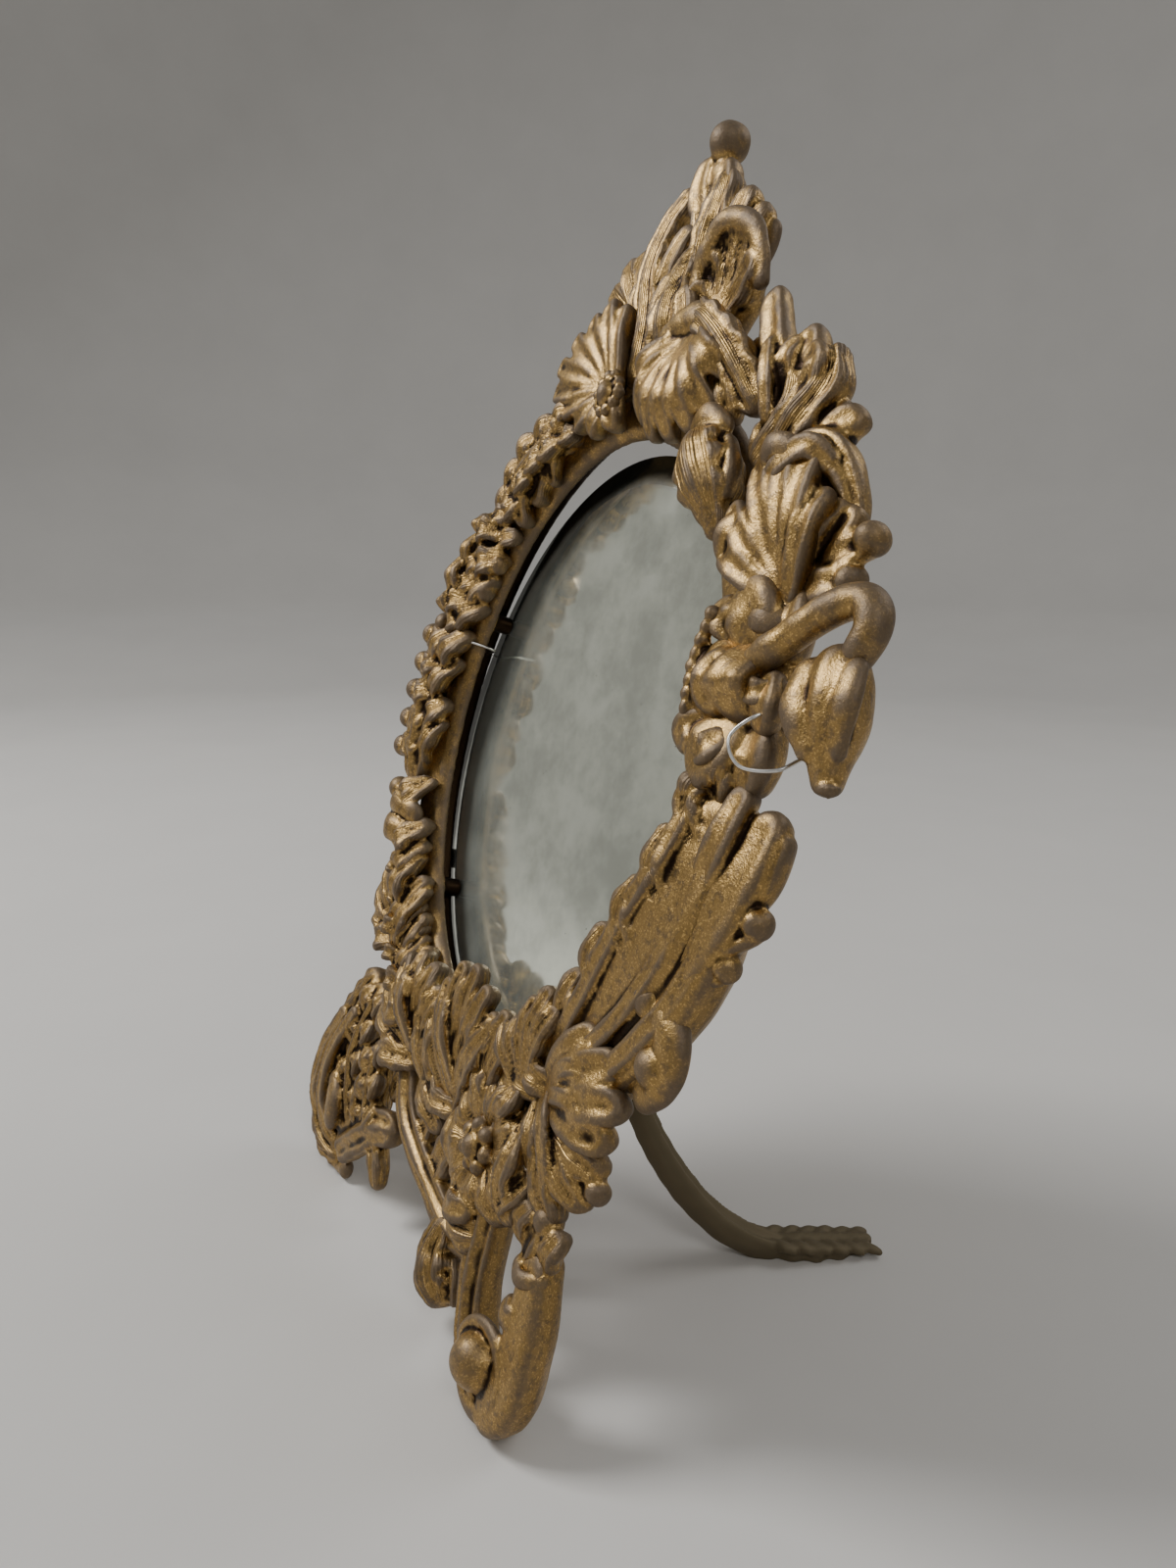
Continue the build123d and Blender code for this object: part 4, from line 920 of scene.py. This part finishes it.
def foot_shapes():
    """The right foot with its volute and bud, and the left foot."""
    middle_u, middle_v, reach = 65, 15, 15
    volute = []
    for i in range(12):
        turn = -2.4 + 0.5 * i
        near = reach - 0.5 * i
        place = (middle_u + near * math.cos(turn), middle_v + near * math.sin(turn))
        volute.append((*place, 11 + 0.4 * i, 2.8 - 0.08 * i))
    return {
        "right_foot": [
            leaf((43, 60, 8, 7.5), (44, 42, 9, 7), (48, 24, 10, 7), (57, 8, 10, 7), (70, 3, 9, 6.5),
                 flutes=2, plain=True),
            leaf((73, 54, 8, 5.6), (76, 42, 9, 6.6), (79, 27, 10, 7.4), (77, 10, 10, 8), (66, 3, 9, 7),
                 depth=0.2, plain=True, thick=0.7),
            leaf((60, 16, 7, 9), (70, 13, 7, 10), flutes=0, thick=0.6),
            leaf(*volute, flutes=0, thick=0.8),
            bead(64.5, 15, 13, 8.6),
            leaf((66, 36, 10, 3.0), (71, 33, 13, 3.4), (78, 34, 12, 3), plain=True),
        ],
        "foot_bud": [
            leaf((68, 44, 7, 5.5), (72, 52, 9, 6), (75, 60, 9, 5.5), flutes=2, plain=True),
            leaf((62, 50, 9, 4), (64, 58, 12, 4.4), (68, 64, 11, 3.6)),
            leaf((78, 50, 9, 3.6), (80, 57, 11, 4), (82, 63, 9, 3.2)),
            bead(74, 62, 9, 4.6),
            leaf((65, 47, 10, 2.4), (73, 45, 13, 2.8), (82, 49, 10, 2.4), flutes=0),
        ],
        "left_foot": [
            leaf((-72, 7, 6, 7), (-88, 12, 9, 9), (-97, 28, 10, 9.5), (-93, 48, 10, 9.5), (-84, 66, 9, 9),
                 (-76, 82, 8, 7), flutes=3, depth=0.45),
            leaf((-84, 8, 9, 3), (-98, 22, 14, 3.4), (-98, 42, 15, 3.4), (-88, 62, 14, 3), plain=True),
            leaf((-76, 10, 9, 3), (-88, 24, 15, 3.2), (-88, 44, 16, 3.2), (-78, 66, 14, 3), plain=True),
            leaf((-74, 10, 8, 7), (-60, 22, 9, 8), (-46, 32, 9, 7.5), (-30, 38, 8, 6), flutes=2, plain=True),
            *sprig([(-66, 22, 8, 7), (-74, 44, 10, 8), (-72, 62, 10, 8), (-66, 80, 9, 6)], 9, 4),
            leaf((-84, 16, 10, 4.6), (-76, 24, 14, 5), (-80, 34, 14, 4.5), (-89, 32, 11, 4), flutes=0),
            leaf((-84, 4, 5, 4), (-76, 3, 5, 4), (-66, 4, 5, 4), flutes=0),
            *sprig([(-56, 26, 8, 5.5), (-54, 44, 10, 6.5), (-58, 62, 9, 5)], 8, 3),
            leaf((-50, 30, 7, 4.4), (-40, 22, 9, 4.6), (-36, 12, 7, 3)),
        ],
    }


BERRY_ANGLES = (-171, -176, -181, -186, -191)


def left_shapes():
    """The garland, collar, ribbon and sprays of the left side."""
    berry_pegs = [
        leaf((*on_oval(angle, 1), 8, 5.5), (*on_oval(angle, 9), 10, 5.2), (*on_oval(angle, 14), 8, 4))
        for angle in BERRY_ANGLES
    ]
    return {
        "left_lower_leaves": [
            *petals(
                (-72, 98), [(-88, 92), (-96, 104), (-98, 116), (-94, 126), (-86, 131)],
                (4, 5, 3.4), (6, 11, 7),
            ),
            *over_rim(-124, -138, 3, 11, out=8, width=5.4),
        ],
        "left_garland": [
            *over_rim(-116, -153, 8, 12, out=3, inward=-18, width=5.2, height=13),
            *over_rim(-150, -118, 5, 13, out=5, inward=-8, width=4, height=15),
        ],
        "left_collar": [
            leaf((-104, 150, 7, 4.5), (-90, 148, 14, 5), (-74, 145, 10, 4.5), flutes=0),
            leaf((-103, 139, 7, 4.5), (-88, 138, 15, 5.5), (-73, 136, 10, 4.5), flutes=0),
            leaf((-99, 144, 7, 3), (-88, 143, 11, 4), (-76, 141, 9, 3), flutes=0),
            *over_rim(-156, -163, 2, 15, width=4),
            bead(-103, 152, 9, 4.8),
        ],
        "left_ribbon": [
            leaf((-92, 156, 7, 8), (-95, 172, 9, 9), (-96, 188, 9, 9), (-95, 204, 9, 8), flutes=2,
                 plain=True),
            *over_rim(-168, -193, 5, 21, out=6, inward=-7, width=4.4, height=13),
            *over_rim(-168, -194, 4, 22, out=-2, inward=-19, width=5),
            *berries(BERRY_ANGLES, 16, 4.6),
            *berry_pegs,
        ],
        "left_spray": [
            *over_rim(-194, -222, 7, 31, out=5, inward=-14, width=4.8, height=13),
            *over_rim(-218, -196, 4, 32, out=7, inward=-5, width=3.8, height=15),
            *over_rim(-196, -220, 4, 33, out=-4, inward=-19, width=5, height=10),
            *berries((-194, -199, -207, -214), 9, 4.2),
            bead(*on_oval(-206, -17), 8, 4),
            bead(*on_oval(-213, -18), 8, 3.6),
        ],
        "left_shoulder": [
            *sprig([(-72, 263, 7, 5), (-64, 274, 10, 6.5), (-55, 284, 11, 7), (-43, 291, 11, 6.5),
                    (-30, 297, 8, 5)], 10, 5),
            *over_rim(-222, -246, 5, 41, out=3, inward=-15, width=4.8),
            *over_rim(-246, -224, 3, 42, out=-2, inward=-19, width=5, height=10),
        ],
    }


RIM_SECTION = [                 # (in from the outer edge, height) round the rim's section
    (0.4, 0.0), (0.0, 2.2), (1.4, 4.2), (4.5, 5.6), (7.5, 6.9), (9.0, 6.2), (13.0, 5.4),
    (16.5, 4.6), (18.6, 3.2), (20.0, 1.2), (19.6, 0.0),
]
LUG_ANGLES = (0, 20, 160, -40, -90, -140)
LUG_RADIUS = 3.5
LUG_BACK = -8.0                 # where the lugs meet the glass
LUG_MARGIN = 0.5                # from a lug's side to the rim's inner edge
BOSS_RADIUS = 4.0
BOSS_BACK = -14.0               # where the bosses meet the strap
BOSS_INSET = 3 * MM             # from the end of the two screws' box to the middle of a boss
POST_TOP = 3.0                  # how far lugs and bosses reach into the rim
POST_EDGE = 0.5
RIM_GRAIN = 0.9                 # the skin's grain on the rim
RIM_SOFTNESS = 3
RIM_DENTS = 0.3
RIM_RINGS = 240
# a wall in the gap between rim and glass on the left, painted dark as the shade seen there
SHADE_WALL_SECTION = [(8.4, 1.0), (8.4, -7.6), (11.2, -7.6), (11.2, 1.0)]
SHADE_WALL_ANGLES = (108, 262)


def hoop(section, first, last, rings):
    """The corners and faces of a section, (in from the outer edge, height), swept round the oval."""
    closed = last - first == 360
    spans = rings if closed else rings - 1
    corners, faces = [], []
    girth = len(section)
    for ring in range(rings):
        turn = math.radians(first + (last - first) * ring / spans)
        for inward, height in section:
            corners.append((
                OVAL_U + (RIM_HALF_WIDTH - inward) * math.cos(turn),
                OVAL_V + (RIM_HALF_HEIGHT - inward) * math.sin(turn),
                height,
            ))
    for ring in range(spans):
        for i in range(girth):
            a, b = ring * girth + i, ring * girth + (i + 1) % girth
            c, d = [(x + girth) % (rings * girth) for x in (b, a)]
            faces.append((a, d, c, b))
    if not closed:
        faces.append(tuple(range(girth)))
        faces.append(tuple(range((rings - 1) * girth, rings * girth))[::-1])
    return corners, faces


def rim_posts():
    """(u, v, back, radius) of each lug for the glass and each boss for the strap."""
    posts = []
    for angle in LUG_ANGLES:
        posts.append((*on_oval(angle, LUG_RADIUS + LUG_MARGIN - RIM_WIDTH), LUG_BACK, LUG_RADIUS))
    screw_low, screw_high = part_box("strap_screws")
    strap_v = (FACE.inverted() @ ((screw_low + screw_high) / 2)).y
    for x in (screw_low.x + BOSS_INSET, screw_high.x - BOSS_INSET):
        posts.append(((x - FEET_MIDDLE) / MM, strap_v, BOSS_BACK, BOSS_RADIUS))
    return posts


def build_post(u, v, back, radius):
    """A round post from inside the rim back to its seat, with a softened edge."""
    bpy.ops.mesh.primitive_cylinder_add(
        vertices=32, radius=radius, depth=POST_TOP - back, location=(u, v, (POST_TOP + back) / 2)
    )
    post = bpy.context.object
    bpy.ops.object.transform_apply(location=True)
    edge = post.modifiers.new("edge", "BEVEL")
    edge.width = POST_EDGE
    edge.segments = 3
    bpy.ops.object.modifier_apply(modifier="edge")
    return post


def build_rim():
    """The oval ribbon, its lugs, the bosses for the strap, and a wall between it and the glass that is painted as
    the shade in that gap.
    """
    corners, faces = hoop(RIM_SECTION, 0, 360, RIM_RINGS)
    # the wall that fills the gap on the left, painted in full shade
    more_corners, more_faces = hoop(SHADE_WALL_SECTION, *SHADE_WALL_ANGLES, RIM_RINGS // 2)
    faces += [tuple(len(corners) + i for i in face) for face in more_faces]
    corners += more_corners
    mesh = bpy.data.meshes.new("rim_ring_cast")
    mesh.from_pydata(corners, [], faces)
    rim = bpy.data.objects.new("rim_ring_cast", mesh)
    bpy.context.scene.collection.objects.link(rim)
    posts = [build_post(*place) for place in rim_posts()]
    only(rim)
    for post in posts:
        post.select_set(True)
    bpy.ops.object.join()
    bpy.ops.object.mode_set(mode="EDIT")
    bpy.ops.mesh.select_all(action="SELECT")
    bpy.ops.mesh.normals_make_consistent(inside=False)
    bpy.ops.object.mode_set(mode="OBJECT")
    skin = rim.modifiers.new("skin", "REMESH")
    skin.mode = "VOXEL"
    skin.voxel_size = RIM_GRAIN
    bpy.ops.object.modifier_apply(modifier="skin")
    soft = rim.modifiers.new("soft", "SMOOTH")
    soft.iterations = RIM_SOFTNESS
    bpy.ops.object.modifier_apply(modifier="soft")
    mesh = rim.data
    here = vertex_array(mesh)
    here[:, 2] += np.where(here[:, 2] > 1, uneven(here, "rim", RIM_DENTS), 0)
    mesh.vertices.foreach_set("co", here.ravel())
    mesh.update()
    # below -0.4 mm the rim's back, its posts and the wall are painted in full shade
    mark_relief(mesh, floor=-0.4)
    mesh.transform(FACE)
    only(rim)
    bpy.ops.object.shade_smooth()
    settle(rim, "rim_ring", "frame", "aged_gilt")


def build_castings(shapes, settings):
    """Every casting of a group."""
    for node, strokes in shapes.items():
        casting(node, strokes, settings)


def strut_shapes():
    """The folding strut: a ribbed bar that ends in a leaf, in the hinge's own directions."""
    shapes = [
        leaf((0, 0, 0, 4.3), (12, -24, 0, 4.4), (30, -56, 0, 4.8), (50, -77, 0, 5.2), (70, -89, 0, 5.6),
             (92, -93.5, 0, 5.6), flutes=2, depth=0.6, thick=0.7, plain=True),
        leaf((86, -92.5, 0, 5), (100, -90.5, 0, 7.4), (113, -87.5, 0, 6.4), (123, -84, 0, 3), flutes=2,
             thick=0.5),
    ]
    for i in range(6):
        out, drop = 84 + 6.2 * i, -92.5 + 1.1 * i
        for side in (-1, 1):
            shapes.append(
                leaf((out, drop, side * 1.5, 2.0), (out + 5, drop + 1.4, side * 5.4, 2.4),
                     (out + 10, drop + 1.2, side * 7.4, 1.7), flutes=0, thick=0.8)
            )
    return shapes


TWIST_RADIUS = 1.1              # of the tie wire's twisted end
TWIST_ANGLE = 16                # in radians, from the start of the twist to its end


def build_wire(settings):
    """The tie wire: over the rim on the left, behind the glass, and twisted off under the rose."""
    twist = []
    for t in np.linspace(0, 1, 14):
        turn = TWIST_ANGLE * t
        place = (122 + 7 * t, 203 + 5 * t + TWIST_RADIUS * math.sin(turn), 9 + TWIST_RADIUS * math.cos(turn))
        twist.append(place)
    runs = [
        [(-97, 212, 2), (-94, 214, 8), (-86, 215, 10), (-79, 216, 8), (-74.8, 215.5, 0), (-76, 215, -3.6),
         (-84, 214, -4.2), (-90.5, 214, -4.8), (-91.6, 214, -8), (-91.6, 214, -13.5), (-87, 214, -16.2),
         (0, 213.5, -16.2), (79, 213, -16.2), (84.6, 213, -13), (84.6, 213, -6), (88, 213, -3),
         (98, 212, -2)],
        [(98, 212, -2), (110, 213, 4), (111, 211, 16), (107, 204, 20), (112, 198, 19), (120, 199, 15),
         (122, 203, 10)],
        twist,
    ]
    data = bpy.data.curves.new("tie_wire_drawn", "CURVE")
    data.dimensions = "3D"
    data.bevel_depth = settings.wire / MM
    data.bevel_resolution = 3
    data.use_fill_caps = True
    for run in runs:
        rows = smooth_path([(*place, 1) for place in run])[:, :3]
        line = data.splines.new("POLY")
        line.points.add(len(rows) - 1)
        for point, place in zip(line.points, rows):
            point.co = (*place, 1)
    wire = bpy.data.objects.new("tie_wire_drawn", data)
    bpy.context.scene.collection.objects.link(wire)
    only(wire)
    bpy.ops.object.convert(target="MESH")
    wire.data.transform(FACE)
    bpy.ops.object.shade_smooth()
    settle(wire, "tie_wire", "frame", "bright_wire")


# ------------------------------------------------------------------ operators
class EASELMIRROR_OT_materials(bpy.types.Operator):
    """Make the finishes: aged gilding, dark iron, old silvering, wire, steel, board and paper"""

    bl_idname = "easel_mirror.materials"
    bl_label = "Finishes"

    def execute(self, context):
        build_materials(context.scene.easel_mirror)
        return {"FINISHED"}


class EASELMIRROR_OT_crest(bpy.types.Operator):
    """Model the crest"""

    bl_idname = "easel_mirror.crest"
    bl_label = "Crest"

    def execute(self, context):
        build_castings(crest_shapes(), context.scene.easel_mirror)
        return {"FINISHED"}


class EASELMIRROR_OT_shoulder(bpy.types.Operator):
    """Model the right shoulder's bud and leaves"""

    bl_idname = "easel_mirror.shoulder"
    bl_label = "Right shoulder"

    def execute(self, context):
        build_castings(shoulder_shapes(), context.scene.easel_mirror)
        return {"FINISHED"}


class EASELMIRROR_OT_rose(bpy.types.Operator):
    """Model the rose and the hanging tulip"""

    bl_idname = "easel_mirror.rose"
    bl_label = "Rose and tulip"

    def execute(self, context):
        build_castings(rose_shapes(), context.scene.easel_mirror)
        return {"FINISHED"}


class EASELMIRROR_OT_flank(bpy.types.Operator):
    """Model the acanthus and the corner's leaves"""

    bl_idname = "easel_mirror.flank"
    bl_label = "Acanthus"

    def execute(self, context):
        build_castings(flank_shapes(), context.scene.easel_mirror)
        return {"FINISHED"}


class EASELMIRROR_OT_base(bpy.types.Operator):
    """Model the rosette, the shell and the strand between the feet"""

    bl_idname = "easel_mirror.base"
    bl_label = "Base"

    def execute(self, context):
        build_castings(base_shapes(), context.scene.easel_mirror)
        return {"FINISHED"}


class EASELMIRROR_OT_feet(bpy.types.Operator):
    """Model the two front feet"""

    bl_idname = "easel_mirror.feet"
    bl_label = "Feet"

    def execute(self, context):
        build_castings(foot_shapes(), context.scene.easel_mirror)
        return {"FINISHED"}


class EASELMIRROR_OT_left(bpy.types.Operator):
    """Model the garland, ribbon and sprays of the left side"""

    bl_idname = "easel_mirror.left"
    bl_label = "Left side"

    def execute(self, context):
        build_castings(left_shapes(), context.scene.easel_mirror)
        return {"FINISHED"}


class EASELMIRROR_OT_rim(bpy.types.Operator):
    """Model the oval rim with its lugs and bosses"""

    bl_idname = "easel_mirror.rim"
    bl_label = "Rim"

    def execute(self, context):
        build_rim()
        return {"FINISHED"}


class EASELMIRROR_OT_fittings(bpy.types.Operator):
    """Give the glass, the board, the strap and the hinge's fittings their finishes"""

    bl_idname = "easel_mirror.fittings"
    bl_label = "Glass and fittings"

    def execute(self, context):
        finishes = {
            "mirror_glass": "old_silvering",
            "backing_board": "backing_wood",
            "hinge_strap": "dark_iron",
            "strut_bracket": "dark_iron",
            "hinge_pin": "dull_steel",
            "strap_screws": "dull_steel",
            "bracket_rivets": "dull_steel",
        }
        for node, finish in finishes.items():
            mesh = frame["nodes"][node].data
            mesh.materials.clear()
            mesh.materials.append(bpy.data.materials[finish])
        build_wire(context.scene.easel_mirror)
        return {"FINISHED"}


class EASELMIRROR_OT_strut(bpy.types.Operator):
    """Model the folding strut"""

    bl_idname = "easel_mirror.strut"
    bl_label = "Strut"

    def execute(self, context):
        settings = context.scene.easel_mirror
        casting("strut_leg", strut_shapes(), settings, STRUT, "strut", "dark_iron", (0, 0, -1))
        return {"FINISHED"}


# ------------------------------------------------------------------ stage
CAMERA_PLACE = Vector((0.300886, -0.186394, 0.245523))
CAMERA_YAW = 1.04015677
CAMERA_DOWN = 0.21759
CAMERA_ROLL = 0.00418
CAMERA_LENS = 24.9
FLOOR_PROFILE = [               # (radius, height) from the floor's edge up the backdrop, in metres
    (0.5, 0.0), (1.6, 0.0), (2.2, 0.12), (2.6, 0.45), (2.8, 1.0), (2.9, 1.8), (2.9, 3.0),
]
LIGHTS_AIM = Vector((0, 0, 0.18))
LIGHTS = {                      # place, size in metres and share of the key light's power
    "key": ((-0.85, -1.0, 1.35), 0.6, 1.0),
    "window": ((1.3, -0.35, 1.3), 0.5, 0.22),
    "behind": ((0.3, 1.3, 1.4), 0.8, 0.25),
}
SKY_COLOUR = (0.9, 0.93, 0.95, 1)
SKY_STRENGTH = 0.30


class EASELMIRROR_OT_stage(bpy.types.Operator):
    """Make the floor, the backdrop, the lights and the camera"""

    bl_idname = "easel_mirror.stage"
    bl_label = "Stage"

    def execute(self, context):
        settings = context.scene.easel_mirror
        build_backdrop()
        build_lights(settings)
        build_camera()
        return {"FINISHED"}


def build_backdrop():
    """A pale floor that curves up all round into a backdrop."""
    radius = FLOOR_PROFILE[0][0]
    bpy.ops.mesh.primitive_circle_add(vertices=96, radius=radius, fill_type="TRIFAN", location=(0, 0, 0))
    floor = bpy.context.object
    floor.name = "floor"
    bpy.ops.object.mode_set(mode="EDIT")
    bpy.ops.mesh.select_mode(type="EDGE")
    for (inner, low), (outer, high) in zip(FLOOR_PROFILE, FLOOR_PROFILE[1:]):
        bpy.ops.mesh.select_all(action="SELECT")
        bpy.ops.mesh.region_to_loop()
        bpy.ops.mesh.extrude_edges_move(TRANSFORM_OT_translate={"value": (0, 0, high - low)})
        bpy.ops.transform.resize(value=(outer / inner, outer / inner, 1), center_override=(0, 0, high))
    bpy.ops.object.mode_set(mode="OBJECT")
    bpy.ops.object.shade_smooth()
    floor.data.materials.append(bpy.data.materials["pale_paper"])


def build_lights(settings):
    """A broad key light, a fill and a light from behind."""
    for name, (place, size, share) in LIGHTS.items():
        bpy.ops.object.light_add(type="AREA", location=place)
        light = bpy.context.object
        light.name = name
        light.data.size = size
        light.data.energy = settings.light * share
        light.rotation_euler = (LIGHTS_AIM - Vector(place)).to_track_quat("-Z", "Y").to_euler()
    world = bpy.data.worlds.new("studio")
    world.use_nodes = True
    sky = world.node_tree.nodes["Background"]
    sky.inputs["Color"].default_value = SKY_COLOUR
    sky.inputs["Strength"].default_value = SKY_STRENGTH
    bpy.context.scene.world = world


def build_camera():
    """The camera, close by on the right and a little above the middle."""
    forward = Vector((
        -math.sin(CAMERA_YAW) * math.cos(CAMERA_DOWN),
        math.cos(CAMERA_YAW) * math.cos(CAMERA_DOWN),
        -math.sin(CAMERA_DOWN),
    ))
    level = Vector((math.cos(CAMERA_YAW), math.sin(CAMERA_YAW), 0))
    above = level.cross(forward)
    right = level * math.cos(CAMERA_ROLL) + above * math.sin(CAMERA_ROLL)
    up = above * math.cos(CAMERA_ROLL) - level * math.sin(CAMERA_ROLL)
    bpy.ops.object.camera_add()
    camera = bpy.context.object
    turn = Matrix((right, up, -forward)).transposed()
    camera.matrix_world = Matrix.Translation(CAMERA_PLACE) @ turn.to_4x4()
    camera.data.sensor_fit = "VERTICAL"
    camera.data.sensor_height = 36
    camera.data.lens = CAMERA_LENS
    camera.data.clip_start = 0.01
    bpy.context.scene.camera = camera


class EASELMIRROR_PT_panel(bpy.types.Panel):
    """The mirror's settings and its pieces"""

    bl_label = "Easel Mirror"
    bl_idname = "EASELMIRROR_PT_panel"
    bl_space_type = "VIEW_3D"
    bl_region_type = "UI"
    bl_category = "Easel Mirror"

    def draw(self, context):
        settings = context.scene.easel_mirror
        for name in EaselMirrorSettings.__annotations__:
            self.layout.prop(settings, name)
        for operator in OPERATORS:
            self.layout.operator(operator.bl_idname)


OPERATORS = (
    EASELMIRROR_OT_materials,
    EASELMIRROR_OT_stage,
    EASELMIRROR_OT_rim,
    EASELMIRROR_OT_crest,
    EASELMIRROR_OT_shoulder,
    EASELMIRROR_OT_rose,
    EASELMIRROR_OT_flank,
    EASELMIRROR_OT_base,
    EASELMIRROR_OT_feet,
    EASELMIRROR_OT_left,
    EASELMIRROR_OT_fittings,
    EASELMIRROR_OT_strut,
)


def register():
    """Make the settings, the operators and the panel known to Blender."""
    for kind in (EaselMirrorSettings, *OPERATORS, EASELMIRROR_PT_panel):
        bpy.utils.register_class(kind)
    bpy.types.Scene.easel_mirror = bpy.props.PointerProperty(type=EaselMirrorSettings)


def unregister():
    """Take them out again."""
    del bpy.types.Scene.easel_mirror
    for kind in (EASELMIRROR_PT_panel, *reversed(OPERATORS), EaselMirrorSettings):
        bpy.utils.unregister_class(kind)


def main():
    """Make the whole mirror."""
    register()
    bpy.ops.easel_mirror.materials()
    bpy.ops.easel_mirror.stage()
    bpy.ops.easel_mirror.rim()
    bpy.ops.easel_mirror.crest()
    bpy.ops.easel_mirror.shoulder()
    bpy.ops.easel_mirror.rose()
    bpy.ops.easel_mirror.flank()
    bpy.ops.easel_mirror.base()
    bpy.ops.easel_mirror.feet()
    bpy.ops.easel_mirror.left()
    bpy.ops.easel_mirror.fittings()
    bpy.ops.easel_mirror.strut()


if __name__ == "__main__":
    main()
